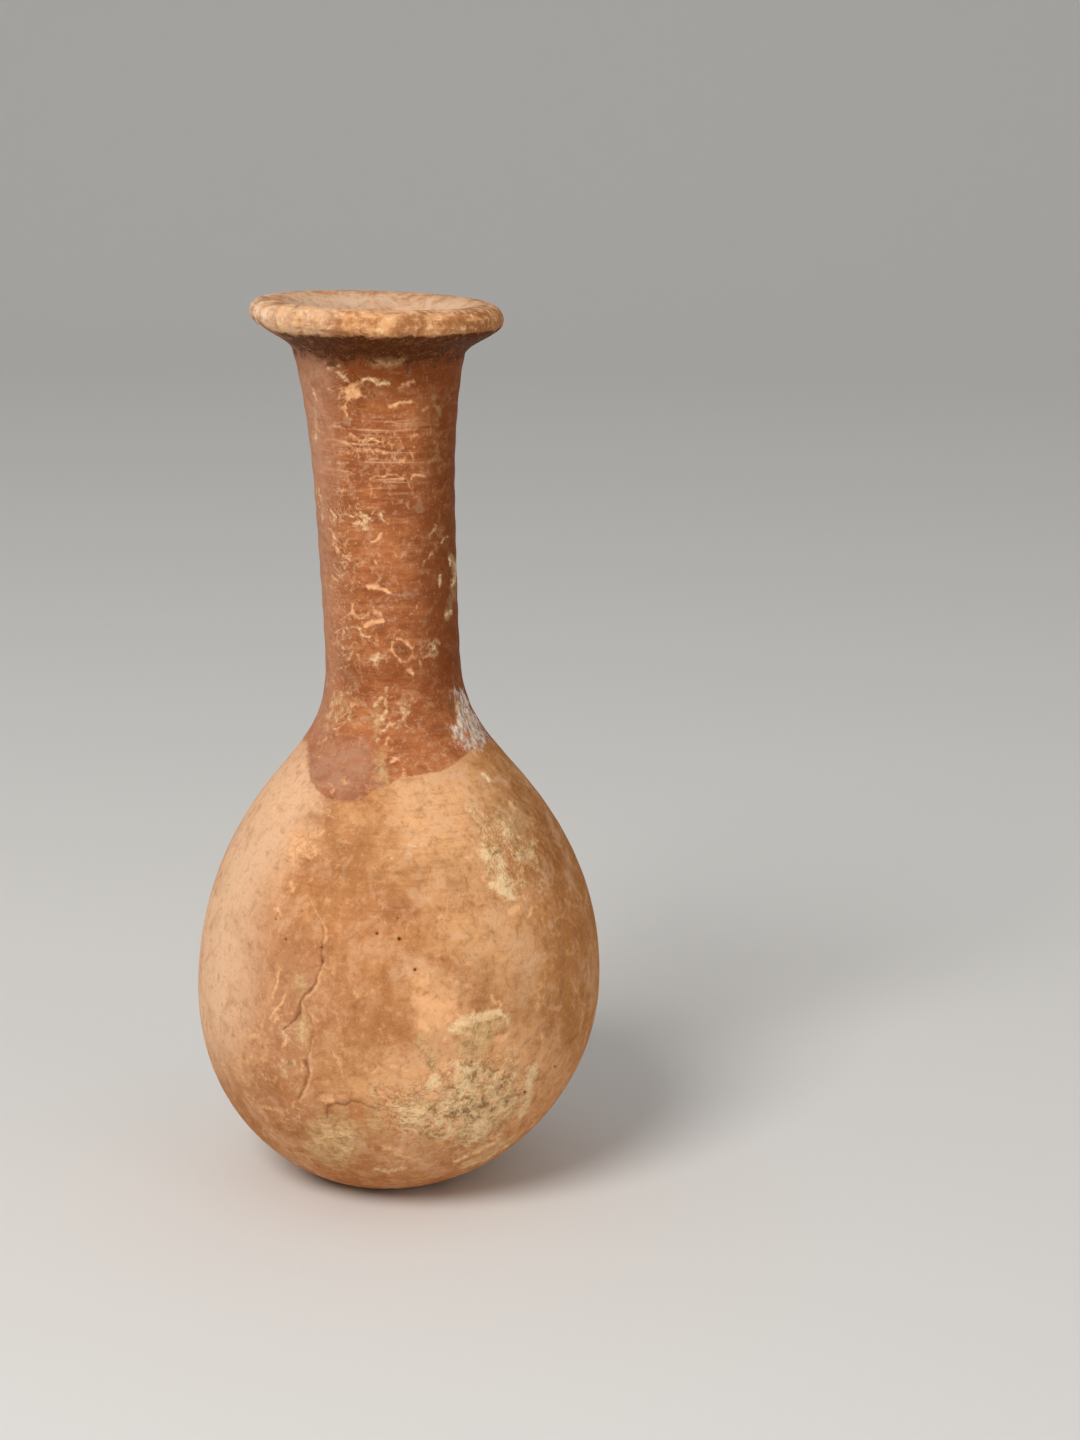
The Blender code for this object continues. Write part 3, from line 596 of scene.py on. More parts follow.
        (0.8, 0, 10, ((315, 560), (338, 560), (342, 640), (322, 640))),
    ),
    "ochre": (
        (0.9, 0, 26, ((400, 790), (470, 775), (520, 800), (500, 900), (430, 900), (390, 850))),
        (0.8, 0, 26, ((440, 920), (540, 920), (560, 1000), (520, 1040), (460, 980))),
        (0.7, 0, 20, ((320, 1040), (380, 1030), (400, 1080), (340, 1095))),
    ),
    "umber_and_shade": (
        (0.5, 0, 6, ((258, 318), (280, 328), (330, 336), (334, 326), (290, 316), (264, 308))),
        (1.0, 0, 12, ((290, 352), (470, 352), (466, 396), (294, 404))),
        (0.5, 0, 14, ((322, 822), (380, 820), (388, 880), (340, 884), (318, 860))),
        # Right shoulder: painted shade on the side away from the light
        (1.0, 0, 10, ((500, 772), (530, 788), (566, 850), (570, 900), (548, 886), (530, 840),
                      (505, 806))),
        # Low on the left: painted shade towards the lower edge
        (0.6, 0, 10, ((270, 1084), (300, 1086), (300, 1098), (240, 1098), (236, 1088))),
        (0.5, 0, 12, ((340, 985), (400, 990), (404, 1040), (350, 1036))),
        # Low on the left: painted shade towards the lower edge
        (0.7, 0, 18, ((225, 1085), (300, 1088), (330, 1110), (300, 1165), (250, 1130))),
        (0.6, 0, 12, ((420, 1140), (470, 1145), (440, 1175), (380, 1180), (385, 1160))),
        (0.75, 0, 8, ((340, 664), (452, 664), (454, 682), (344, 682))),
        # Painted shade down the neck's right side
        (0.6, 0, 10, ((436, 400), (456, 400), (456, 560), (440, 560))),
        (0.6, 0, 8, ((268, 306), (330, 308), (328, 330), (282, 326))),
        (0.8, 0, 6, ((462, 306), (500, 308), (505, 322), (480, 328), (464, 322))),
    ),
}


class ThrownShape(PropertyGroup):
    """The bottle's section, before it leans."""

    foot_radius: FloatProperty(
        name="Foot radius", description="Flat spot it stands on", default=0.0095, unit="LENGTH"
    )
    belly_height: FloatProperty(
        name="Belly height", description="Height of the widest circle",
        default=0.0298, unit="LENGTH",
    )
    belly_radius: FloatProperty(
        name="Belly radius", description="Outside radius at the widest",
        default=0.02988, unit="LENGTH",
    )
    shoulder_height: FloatProperty(
        name="Shoulder height", description="Where the shoulder is steepest inwards",
        default=0.0607, unit="LENGTH",
    )
    shoulder_radius: FloatProperty(
        name="Shoulder radius", description="Outside radius there", default=0.0184, unit="LENGTH"
    )
    shoulder_slope: FloatProperty(
        name="Shoulder slope", description="From the vertical",
        default=math.radians(39.7), subtype="ANGLE",
    )
    waist_height: FloatProperty(
        name="Waist height", description="Where the neck is slimmest",
        default=0.0795, unit="LENGTH",
    )
    waist_radius: FloatProperty(
        name="Waist radius", description="Outside radius there", default=0.0098, unit="LENGTH"
    )
    neck_top_height: FloatProperty(
        name="Neck top height", description="Corner under the rim", default=0.1230, unit="LENGTH"
    )
    neck_top_radius: FloatProperty(
        name="Neck top radius", description="Outside radius there", default=0.0123, unit="LENGTH"
    )
    neck_flare: FloatProperty(
        name="Neck flare", description="Slope of the neck's top, from the vertical",
        default=math.radians(13.4), subtype="ANGLE",
    )
    height: FloatProperty(
        name="Height", description="To the crest of the lip", default=0.1300, unit="LENGTH"
    )
    crest_radius: FloatProperty(
        name="Crest radius", description="Radius of the lip's crest",
        default=0.0154, unit="LENGTH",
    )
    rim_radius: FloatProperty(
        name="Rim radius", description="Outside radius of the lip", default=0.01804, unit="LENGTH"
    )
    lip_height: FloatProperty(
        name="Lip height", description="Thickness of the rolled lip",
        default=0.0041, unit="LENGTH",
    )
    bore_top: FloatProperty(
        name="Bore top", description="Height where the dish meets the bore",
        default=0.1180, unit="LENGTH",
    )
    body_wall: FloatProperty(
        name="Body wall", description="Clay thickness of the body", default=0.0034, unit="LENGTH"
    )
    neck_wall: FloatProperty(
        name="Neck wall", description="Clay thickness of the neck", default=0.0038, unit="LENGTH"
    )
    floor: FloatProperty(
        name="Floor", description="Clay thickness of the floor", default=0.0042, unit="LENGTH"
    )
    around: IntProperty(name="Around", description="Steps round the bottle", default=190)
    spacing: FloatProperty(
        name="Spacing", description="Distance between rings outside",
        default=0.00074, unit="LENGTH",
    )
    crowding: FloatProperty(
        name="Crowding", description="How much closer the steps are at the front", default=0.5
    )


class Lean(PropertyGroup):
    """How far the axis stands from the foot's, along X, at each height, and the rim's dip at +X."""

    belly: FloatProperty(name="At the belly", description="Sway", default=0.00165, unit="LENGTH")
    shoulder: FloatProperty(
        name="At the shoulder", description="Sway", default=0.00162, unit="LENGTH"
    )
    waist: FloatProperty(name="At the waist", description="Sway", default=0.00066, unit="LENGTH")
    neck_top: FloatProperty(
        name="At the neck's top", description="Sway", default=-0.00135, unit="LENGTH"
    )
    rim: FloatProperty(name="At the rim", description="Sway", default=-0.00165, unit="LENGTH")
    rim_tilt: FloatProperty(
        name="Rim tilt", description="Dip of the rim", default=math.radians(1.8), subtype="ANGLE"
    )


class Relief(PropertyGroup):
    """Heights and depths of what time and the potter's fingers left in the surface."""

    unevenness: FloatProperty(
        name="Unevenness", description="Broad swells of the wall", default=0.00012, unit="LENGTH"
    )
    finger_rings: FloatProperty(
        name="Finger rings", description="Throwing rings", default=0.00004, unit="LENGTH"
    )
    groove: FloatProperty(
        name="Groove", description="Turned groove on the shoulder", default=0.00030, unit="LENGTH"
    )
    crack: FloatProperty(
        name="Crack depth", description="Depth of the cracks", default=0.00016, unit="LENGTH"
    )
    pit: FloatProperty(
        name="Pit depth", description="Depth of the burst pits", default=0.00050, unit="LENGTH"
    )
    spall: FloatProperty(
        name="Spall depth", description="Depth where the skin has flaked off",
        default=0.00008, unit="LENGTH",
    )
    crust: FloatProperty(
        name="Crust height", description="Height of the lime crust",
        default=0.00010, unit="LENGTH",
    )
    rim_wear: FloatProperty(
        name="Rim wear", description="Depth of the worn lip", default=0.00030, unit="LENGTH"
    )


class Colours(PropertyGroup):
    """Colours of the clay, of what lies on it and of its painted shade, as linear light."""

    clay: FloatVectorProperty(
        name="Clay", description="Bare clay", subtype="COLOR", default=(0.61, 0.268, 0.103)
    )
    clay_dark: FloatVectorProperty(
        name="Redder clay", description="Redder clouds", subtype="COLOR",
        default=(0.52, 0.212, 0.076),
    )
    clay_deep: FloatVectorProperty(
        name="Deep clay", description="Dark mottles", subtype="COLOR",
        default=(0.34, 0.125, 0.042),
    )
    clay_pale: FloatVectorProperty(
        name="Bleached clay", description="Pale, dusty side", subtype="COLOR",
        default=(0.83, 0.515, 0.315),
    )
    golden: FloatVectorProperty(
        name="Golden clay", description="Bright, dusty parts", subtype="COLOR",
        default=(0.92, 0.49, 0.225),
    )
    rosy: FloatVectorProperty(
        name="Rosy clay", description="Pinker parts", subtype="COLOR", default=(0.55, 0.255, 0.12)
    )
    ochre: FloatVectorProperty(
        name="Ochre clay", description="Yellower parts", subtype="COLOR",
        default=(0.60, 0.30, 0.12),
    )
    dish: FloatVectorProperty(
        name="Dish", description="Inside the mouth", subtype="COLOR", default=(0.70, 0.490, 0.335)
    )
    slip: FloatVectorProperty(
        name="Slip", description="Thin red-brown slip", subtype="COLOR",
        default=(0.51, 0.170, 0.058),
    )
    slip_dark: FloatVectorProperty(
        name="Thick slip", description="Slip where it pooled", subtype="COLOR",
        default=(0.31, 0.090, 0.030),
    )
    # Painted shade for the slip down the neck's right side, away from the light, and dark stains on the
    # slip
    stained_and_shaded_slip: FloatVectorProperty(
        name="Shaded slip", description="Darkest slip, on one side", subtype="COLOR",
        default=(0.225, 0.056, 0.012),
    )
    slip_dusty: FloatVectorProperty(
        name="Dusty slip", description="Slip under a pale haze", subtype="COLOR",
        default=(0.50, 0.250, 0.150),
    )
    spall: FloatVectorProperty(
        name="Fresh clay", description="Under the skin", subtype="COLOR",
        default=(0.95, 0.50, 0.245),
    )
    lime: FloatVectorProperty(
        name="Lime", description="Cream lime deposit", subtype="COLOR",
        default=(0.98, 0.685, 0.375),
    )
    green: FloatVectorProperty(
        name="Green film", description="Grey-green deposit", subtype="COLOR",
        default=(0.68, 0.46, 0.215),
    )
    chalk: FloatVectorProperty(
        name="Chalk", description="White crust", subtype="COLOR", default=(0.84, 0.73, 0.61)
    )
    # Also the colour of painted shade under the lip, in the cracks and in the crust's crevices, and of
    # painted shadows
    grime_and_shadow: FloatVectorProperty(
        name="Grime", description="Dark dirt", subtype="COLOR", default=(0.16, 0.055, 0.020)
    )
    # Also the colour of the painted shade under the lip
    soot_and_shade: FloatVectorProperty(
        name="Soot", description="Darkest dirt", subtype="COLOR", default=(0.080, 0.022, 0.004)
    )
    # Also the colour of the painted shade down the right side
    film: FloatVectorProperty(
        name="Brown film", description="Thin film of earth", subtype="COLOR",
        default=(0.505, 0.212, 0.055),
    )
    # Also the colour of painted shade on the right shoulder, low on the left and in the crust's hollows
    umber_and_shade: FloatVectorProperty(
        name="Umber", description="Darker stains", subtype="COLOR", default=(0.34, 0.135, 0.038)
    )


class Studio(PropertyGroup):
    """The camera, fitted to the photograph, and its soft light."""

    lens: FloatProperty(name="Lens", description="On a 36 mm sensor", default=75.15, unit="CAMERA")
    distance: FloatProperty(
        name="Distance", description="From camera to the bottle's axis",
        default=0.440, unit="LENGTH",
    )
    pitch: FloatProperty(
        name="Pitch", description="Downward look", default=math.radians(13.66), subtype="ANGLE"
    )
    aim_height: FloatProperty(
        name="Aim height", description="Height that the fitted view looks at",
        default=0.0635, unit="LENGTH",
    )
    aim_across: FloatProperty(
        name="Aim across", description="Pixel column of the axis", default=387.8
    )
    aim_down: FloatProperty(
        name="Aim down", description="Pixel row of the aim height", default=757.8
    )
    key: FloatProperty(
        name="Key light", description="Soft light, upper left", default=5.9, unit="POWER"
    )
    fill: FloatProperty(
        name="Fill light", description="Soft light, right", default=0.68, unit="POWER"
    )
    sky: FloatProperty(name="Surroundings", description="Brightness of the room", default=0.42)
    floor: FloatVectorProperty(
        name="Floor", description="Pale floor", subtype="COLOR", default=(0.80, 0.79, 0.77)
    )


def of_scene(context):
    """The settings kept on the scene."""
    return context.scene.unguentarium


class UnguentariumSettings(PropertyGroup):
    """Everything that can be set, in one place."""

    shape: PointerProperty(type=ThrownShape)
    lean: PointerProperty(type=Lean)
    relief: PointerProperty(type=Relief)
    colours: PointerProperty(type=Colours)
    studio: PointerProperty(type=Studio)


def smooth(value, low, high):
    """0 below low, 1 above high, and an easy curve between, for arrays."""
    share = np.clip((value - low) / (high - low), 0.0, 1.0)
    return share * share * (3 - 2 * share)


def band(value, rise, fall):
    """1 in the middle of a band, fading to 0 at both ends."""
    return smooth(value, *rise) * smooth(value, *fall)


def place(radius, height):
    """A point of the section."""
    return Vector((radius, 0.0, height))


def ellipse_arc(centre, across, up, first, last, spacing, outside):
    """One Bezier arc along an ellipse, from one angle to another."""
    reach = 4 / 3 * math.tan((last - first) / 4)
    ends = []
    for angle in (first, last):
        on = centre + place(across * math.cos(angle), up * math.sin(angle))
        along = place(-across * math.sin(angle), up * math.cos(angle)) * reach
        ends.append((on, along))
    return (ends[0][0], ends[0][1], -ends[1][1], ends[1][0], spacing, outside)


def straight(start, end, spacing, outside):
    """One straight piece of the section, drawn like the arcs."""
    third = (end - start) / 3
    return (start, third, -third, end, spacing, outside)


def shoulder_arcs(shape, belly, shoulder, waist, spacing, outside):
    """From the belly over the shoulder to the neck's waist: two arcs that meet on the shoulder."""
    up = place(-math.sin(shape.shoulder_slope), math.cos(shape.shoulder_slope))
    lower_rise = shape.shoulder_height - shape.belly_height
    upper_rise = shape.waist_height - shape.shoulder_height
    leaving = place(0, lower_rise * BELLY_FULLNESS)
    lower = (belly, leaving, -up * lower_rise * SHOULDER_FULLNESS, shoulder, spacing, outside)
    arriving = place(0, -upper_rise * WAIST_HOLLOW)
    upper = (shoulder, up * upper_rise * SHOULDER_HOLLOW, arriving, waist, spacing, outside)
    return [lower, upper]


def outside_arcs(shape, spacing):
    """The outside, from the middle of the foot up to the crest of the lip."""
    foot = place(shape.foot_radius, 0)
    middle = place(0, shape.belly_height)
    belly = place(shape.belly_radius, shape.belly_height)
    shoulder = place(shape.shoulder_radius, shape.shoulder_height)
    waist = place(shape.waist_radius, shape.waist_height)
    top = place(shape.neck_top_radius, shape.neck_top_height)
    depth = shape.belly_height / math.sqrt(1 - (shape.foot_radius / shape.belly_radius) ** 2)
    lowest = -math.acos(shape.foot_radius / shape.belly_radius)
    length = shape.neck_top_height - shape.waist_height
    flare = place(-math.sin(shape.neck_flare), -math.cos(shape.neck_flare))
    bead = place(shape.crest_radius, shape.height - shape.lip_height / 2)
    across = shape.rim_radius - shape.crest_radius
    turns = [math.radians(angle) for angle in LIP_TURNS]
    lip = [
        ellipse_arc(bead, across, shape.lip_height / 2, low, high, spacing * 0.4, True)
        for low, high in zip(turns, turns[1:])
    ]
    arcs = [straight(place(0, 0), foot, spacing * 2, True)]
    arcs.append(ellipse_arc(middle, shape.belly_radius, depth, lowest, 0, spacing, True))
    arcs += shoulder_arcs(shape, belly, shoulder, waist, spacing, True)
    leaving = place(0, length * WAIST_STRAIGHTNESS)
    arcs.append((waist, leaving, flare * length * FLARE_REACH, top, spacing * 0.64, True))
    leaving, arriving = place(*UNDER_LIP_LEAVING), place(*UNDER_LIP_ARRIVING)
    arcs.append((top, leaving, arriving, lip[0][0], spacing * 0.5, True))
    return arcs + lip


def inside_arcs(shape, spacing):
    """The inside, from the crest of the lip down the dish and the bore to the middle of the floor."""
    slope = shape.shoulder_slope
    crest = place(shape.crest_radius, shape.height)
    bore = place(shape.neck_top_radius - shape.neck_wall - BORE_NARROWING, shape.bore_top)
    waist = place(shape.waist_radius - shape.neck_wall, shape.waist_height)
    inward = place(-math.cos(slope), -math.sin(slope)) * shape.body_wall
    shoulder = place(shape.shoulder_radius, shape.shoulder_height) + inward
    belly = place(shape.belly_radius - shape.body_wall, shape.belly_height)
    dish = place(bore.x - crest.x, 0) * DISH_FULLNESS
    drop = place(0, crest.z - bore.z) * DISH_FULLNESS
    run = bore.z - waist.z
    arcs = [(crest, dish, drop, bore, spacing / 3, False)]
    across, down = BORE_HANDLE
    leaving, arriving = place(run * across, run * down), place(0, run * BORE_STRAIGHTNESS)
    arcs.append((bore, leaving, arriving, waist, spacing, False))
    for start, leaving, arriving, end, gap, side in reversed(
        shoulder_arcs(shape, belly, shoulder, waist, spacing, False)
    ):
        arcs.append((end, arriving, leaving, start, gap, side))
    depth = shape.belly_height - shape.floor
    middle = place(0, shape.belly_height)
    arcs.append(ellipse_arc(middle, belly.x, depth, 0, -math.pi / 2, spacing, False))
    return arcs


def draw_section(shape):
    """The section as a mesh of edges, with an attribute that tells the outside from the inside."""
    bpy.ops.object.select_all(action="DESELECT")
    bpy.ops.curve.primitive_bezier_curve_add(location=(0, 0, 0))
    section = bpy.context.object
    section.data.splines.clear()
    section.data.dimensions = "3D"
    sides = []
    arcs = outside_arcs(shape, shape.spacing) + inside_arcs(shape, INSIDE_SPACING)
    for start, leaving, arriving, end, gap, outside in arcs:
        spline = section.data.splines.new("BEZIER")
        spline.bezier_points.add(1)
        first, last = spline.bezier_points
        first.co = start
        first.handle_right = start + leaving
        first.handle_left = start - leaving
        last.co = end
        last.handle_left = end + arriving
        last.handle_right = end - arriving
        spline.resolution_u = max(3, round((end - start).length * 1.06 / gap))
        sides += [1.0 if outside else 0.0] * (spline.resolution_u + 1)
    bpy.ops.object.convert(target="MESH")
    section = bpy.context.object
    section.name = PIECE
    section.data.name = PIECE
    flags = section.data.attributes.new("outside", "FLOAT", "POINT")
    flags.data.foreach_set("value", sides)
    return section


def spin_section(steps):
    """Turns the section into a closed wall, as on the wheel."""
    bpy.ops.object.mode_set(mode="EDIT")
    bpy.ops.mesh.select_all(action="SELECT")
    bpy.ops.mesh.remove_doubles(threshold=SEAM)
    bpy.ops.mesh.select_all(action="SELECT")
    bpy.ops.mesh.spin(steps=steps, angle=2 * math.pi, center=(0, 0, 0), axis=(0, 0, 1))
    bpy.ops.mesh.select_all(action="SELECT")
    bpy.ops.mesh.remove_doubles(threshold=SPUN_SEAM)
    bpy.ops.mesh.normals_make_consistent(inside=False)
    bpy.ops.object.mode_set(mode="OBJECT")


def coordinates(mesh):
    """The mesh's points, one to a row."""
    flat = np.empty(len(mesh.vertices) * 3, np.float32)
    mesh.vertices.foreach_get("co", flat)
    return flat.reshape(-1, 3).astype(float)


def set_coordinates(mesh, points):
    """Moves the mesh's points."""
    mesh.vertices.foreach_set("co", points.astype(np.float32).ravel())
    mesh.update()


def vertex_normals(mesh):
    """The way that the skin faces at each point."""
    flat = np.empty(len(mesh.vertices) * 3, np.float32)
    mesh.vertex_normals.foreach_get("vector", flat)
    return flat.reshape(-1, 3).astype(float)


def read_numbers(mesh, name):
    """A value kept on the mesh, one for each point."""
    values = np.empty(len(mesh.vertices), np.float32)
    mesh.attributes[name].data.foreach_get("value", values)
    return values.astype(float)


def write_numbers(mesh, name, values):
    """Keeps a value for each point on the mesh."""
    kept = mesh.attributes.get(name) or mesh.attributes.new(name, "FLOAT", "POINT")
    kept.data.foreach_set("value", values.astype(np.float32))


def thrown_heights(mesh):
    """Heights on the bottle before it leaned."""
    values = np.empty(len(mesh.vertices) * 3, np.float32)
    mesh.attributes["thrown"].data.foreach_get("vector", values)
    return values.reshape(-1, 3)[:, 2].astype(float)


def crowd_to_front(points, crowding):
    """Turns the steps towards the front, where the finest detail is."""
    radius = np.hypot(points[:, 0], points[:, 1])
    turn = np.arctan2(points[:, 0], -points[:, 1])
    turn = turn - crowding * np.sin(turn)
    return np.stack([radius * np.sin(turn), -radius * np.cos(turn), points[:, 2]], 1)


def sway(heights, shape, lean):
    """Offset of the axis along X at each height: a smooth curve through the set places."""
    heights_above = (shape.belly_height, shape.shoulder_height, shape.waist_height)
    levels = np.array([0, *heights_above, shape.neck_top_height, shape.height])
    offsets = np.array([0, lean.belly, lean.shoulder, lean.waist, lean.neck_top, lean.rim])
    last = len(levels) - 1
    numbers = np.arange(len(levels))
    before = np.maximum(numbers - 1, 0)
    after = np.minimum(numbers + 1, last)
    slopes = (offsets[after] - offsets[before]) / (levels[after] - levels[before])
    span = np.clip(np.searchsorted(levels, heights) - 1, 0, last - 1)
    width = levels[span + 1] - levels[span]
    share = (heights - levels[span]) / width
    ease = share * share * (3 - 2 * share)
    leaving = slopes[span] * width * share * (1 - share) ** 2
    arriving = slopes[span + 1] * width * share * share * (1 - share)
    return offsets[span] + (offsets[span + 1] - offsets[span]) * ease + leaving - arriving


def leaned(points, shape, lean):
    """The true-running bottle's points, moved to where the leaning one has them."""
    middle = (shape.waist_height + shape.neck_top_height) / 2
    tilt = smooth(points[:, 2], middle, shape.neck_top_height) * math.tan(lean.rim_tilt)
    moved = points.copy()
    moved[:, 0] += sway(points[:, 2], shape, lean)
    moved[:, 2] -= points[:, 0] * tilt
    return moved


def camera_place(studio):
    """The camera's place and its three directions: right, up and forward."""
    forward = np.array([0, math.cos(studio.pitch), -math.sin(studio.pitch)])
    up = np.array([0, math.sin(studio.pitch), math.cos(studio.pitch)])
    right = np.array([1.0, 0, 0])
    return np.array([0, 0, studio.aim_height]) - forward * studio.distance, right, up, forward


def seen_at(points, studio):
    """Where the camera sees each point, in pixels of the photograph, and the way back to it."""
    eye, right, up, forward = camera_place(studio)
    focus = studio.lens / SENSOR * PICTURE[1]
    away = points - eye
    depth = away @ forward
    across = studio.aim_across + focus * (away @ right) / depth
    down = studio.aim_down - focus * (away @ up) / depth
    back = -away / np.linalg.norm(away, axis=1)[:, None]
    return np.stack([across, down], 1), back


def line_distance(pixels, line):
    """Distance from each pixel to a line of points."""
    best = np.full(len(pixels), np.inf)
    for start, end in zip(np.array(line[:-1], float), np.array(line[1:], float)):
        run = end - start
        share = np.clip((pixels - start) @ run / (run @ run), 0, 1)
        best = np.minimum(best, np.linalg.norm(pixels - start - share[:, None] * run, axis=1))
    return best


def outline_depth(pixels, outline):
    """Distance inside a closed outline, and less than zero outside it."""
    closed = tuple(outline) + (outline[0],)
    inside = np.zeros(len(pixels), bool)
    for (x0, y0), (x1, y1) in zip(closed[:-1], closed[1:]):
        if y0 == y1:
            continue
        crosses = (y0 > pixels[:, 1]) != (y1 > pixels[:, 1])
        inside ^= crosses & (pixels[:, 0] < (x1 - x0) * (pixels[:, 1] - y0) / (y1 - y0) + x0)
    return np.where(inside, 1, -1) * line_distance(pixels, closed)


def near_box(pixels, points, margin):
    """Which pixels lie near the box round some points."""
    low = np.min(np.array(points, float), axis=0) - margin
    high = np.max(np.array(points, float), axis=0) + margin
    return np.all((pixels > low) & (pixels < high), axis=1)


def mark_field(pixels, marks, softening=1.6):
    """How strongly each pixel is marked: half a mark's cover on its edge, fading over its softness."""
    field = np.zeros(len(pixels))
    for cover, width, drawn_soft, points in marks:
        soft = drawn_soft * softening
        near = near_box(pixels, points, width + soft)
        if not near.any():
            continue
        if width:
            inward = width - line_distance(pixels[near], points)
        else:
            inward = outline_depth(pixels[near], points)
        field[near] = np.maximum(field[near], cover * np.clip(0.5 + inward / (2 * soft), 0, 1))
    return field


def clouds(points, size, octaves, seed):
    """Soft noise from about -1 to 1, with clouds of the given size."""
    scaled = points / size + seed
    return np.array([noise.fractal(Vector(point), 1.0, 2.0, octaves) for point in scaled])


def jittered(pixels, reach, size):
    """Pixels nudged about, so that drawn lines run less straight."""
    flat = np.concatenate([pixels / size, np.zeros((len(pixels), 1))], 1)
    first = np.array([noise.noise(Vector(point)) for point in flat])
    second = np.array([noise.noise(Vector(point)) for point in flat + 31.7])
    return pixels + reach * np.stack([first, second], 1)


def ridge_field(pixels, lines):
    """Each line's strength along its middle, and 0 from its half width on."""
    bent = jittered(pixels, 1.6, 7.0)
    field = np.zeros(len(pixels))
    for strength, half_width, line in lines:
        near = near_box(bent, line, RIDGE_MARGIN)
        if near.any():
            width = half_width * (1 + 0.35 * np.sin(bent[near, 1] / 4.0))
            share = np.clip(1 - line_distance(bent[near], line) / width, 0, 1)
            field[near] = np.maximum(field[near], strength * share)
    return field


def dot_field(pixels, dots):
    """1 in the middle of each dot, 0 outside it."""
    field = np.zeros(len(pixels))
    for across, down, radius in dots:
        gap = np.hypot(pixels[:, 0] - across, pixels[:, 1] - down)
        field = np.maximum(field, np.clip(1.15 - gap / radius, 0, 1))
    return field


def near_fine_marks(pixels, reach, softest):
    """Which pixels lie near a crack, a dot, or the edge of a mark that is no softer than that."""
    lines = [(width + CRACK_MARGIN, line) for strength, width, line in CRACKS + RAISED_LIT_EDGES]
    for marks in MARKS.values():
        for cover, width, soft, points in marks:
            if soft <= softest:
                lines.append((width, points if width else points + points[:1]))
    near = np.zeros(len(pixels), bool)
    for width, line in lines:
        box = near_box(pixels, line, width + reach)
        if box.any():
            near[box] |= line_distance(pixels[box], line) < width + reach
    for across, down, radius in PITS + SPECKS:
        near |= np.hypot(pixels[:, 0] - across, pixels[:, 1] - down) < radius + reach + DOT_MARGIN
    return near


def refine_marks(vessel, studio, reach, softest, smallest):
    """Cuts the faces that lie near fine marks in four, down to a smallest width of face."""
    mesh = vessel.data
    points = coordinates(mesh)
    pixels, back = seen_at(points, studio)
    facing = np.einsum("ij,ij->i", vertex_normals(mesh), back) > 0.05
    wanted = near_fine_marks(pixels, reach, softest) & facing & (read_numbers(mesh, "outside") > 0.5)
    corners = np.empty(len(mesh.loops), np.int32)
    mesh.loops.foreach_get("vertex_index", corners)
    totals = np.empty(len(mesh.polygons), np.int32)
    mesh.polygons.foreach_get("loop_total", totals)
    starts = np.empty(len(mesh.polygons), np.int32)
    mesh.polygons.foreach_get("loop_start", starts)
    areas = np.empty(len(mesh.polygons), np.float32)
    mesh.polygons.foreach_get("area", areas)
    chosen = np.add.reduceat(wanted[corners].astype(int), starts) == totals
    chosen &= np.sqrt(areas) > smallest
    bpy.ops.object.mode_set(mode="EDIT")
    bpy.ops.mesh.select_mode(type="FACE")
    bpy.ops.mesh.select_all(action="DESELECT")
    bpy.ops.object.mode_set(mode="OBJECT")
    mesh.polygons.foreach_set("select", chosen)
    bpy.ops.object.mode_set(mode="EDIT")
    bpy.ops.mesh.subdivide(number_cuts=1)
    bpy.ops.mesh.select_all(action="DESELECT")
    bpy.ops.object.mode_set(mode="OBJECT")


def slip_depth(pixels, front, points, turn):
    """How far inside the slip each point is, in millimetres, and less than zero below its edge."""
    field = outline_depth(pixels, SLIP_EDGE + ABOVE_THE_LIP) / PIXELS_PER_MM
    field *= 0.16 + 0.84 * smooth(pixels[:, 0], *SLIP_START_COLUMNS)
    wave = 1.6 * np.sin(turn * 2 + 0.6) + 0.9 * np.sin(turn * 5 + 2.0)
    behind = points[:, 2] / MM - BACK_SLIP_HEIGHT - wave
    return np.clip(behind + (field - behind) * front, -4, 4)


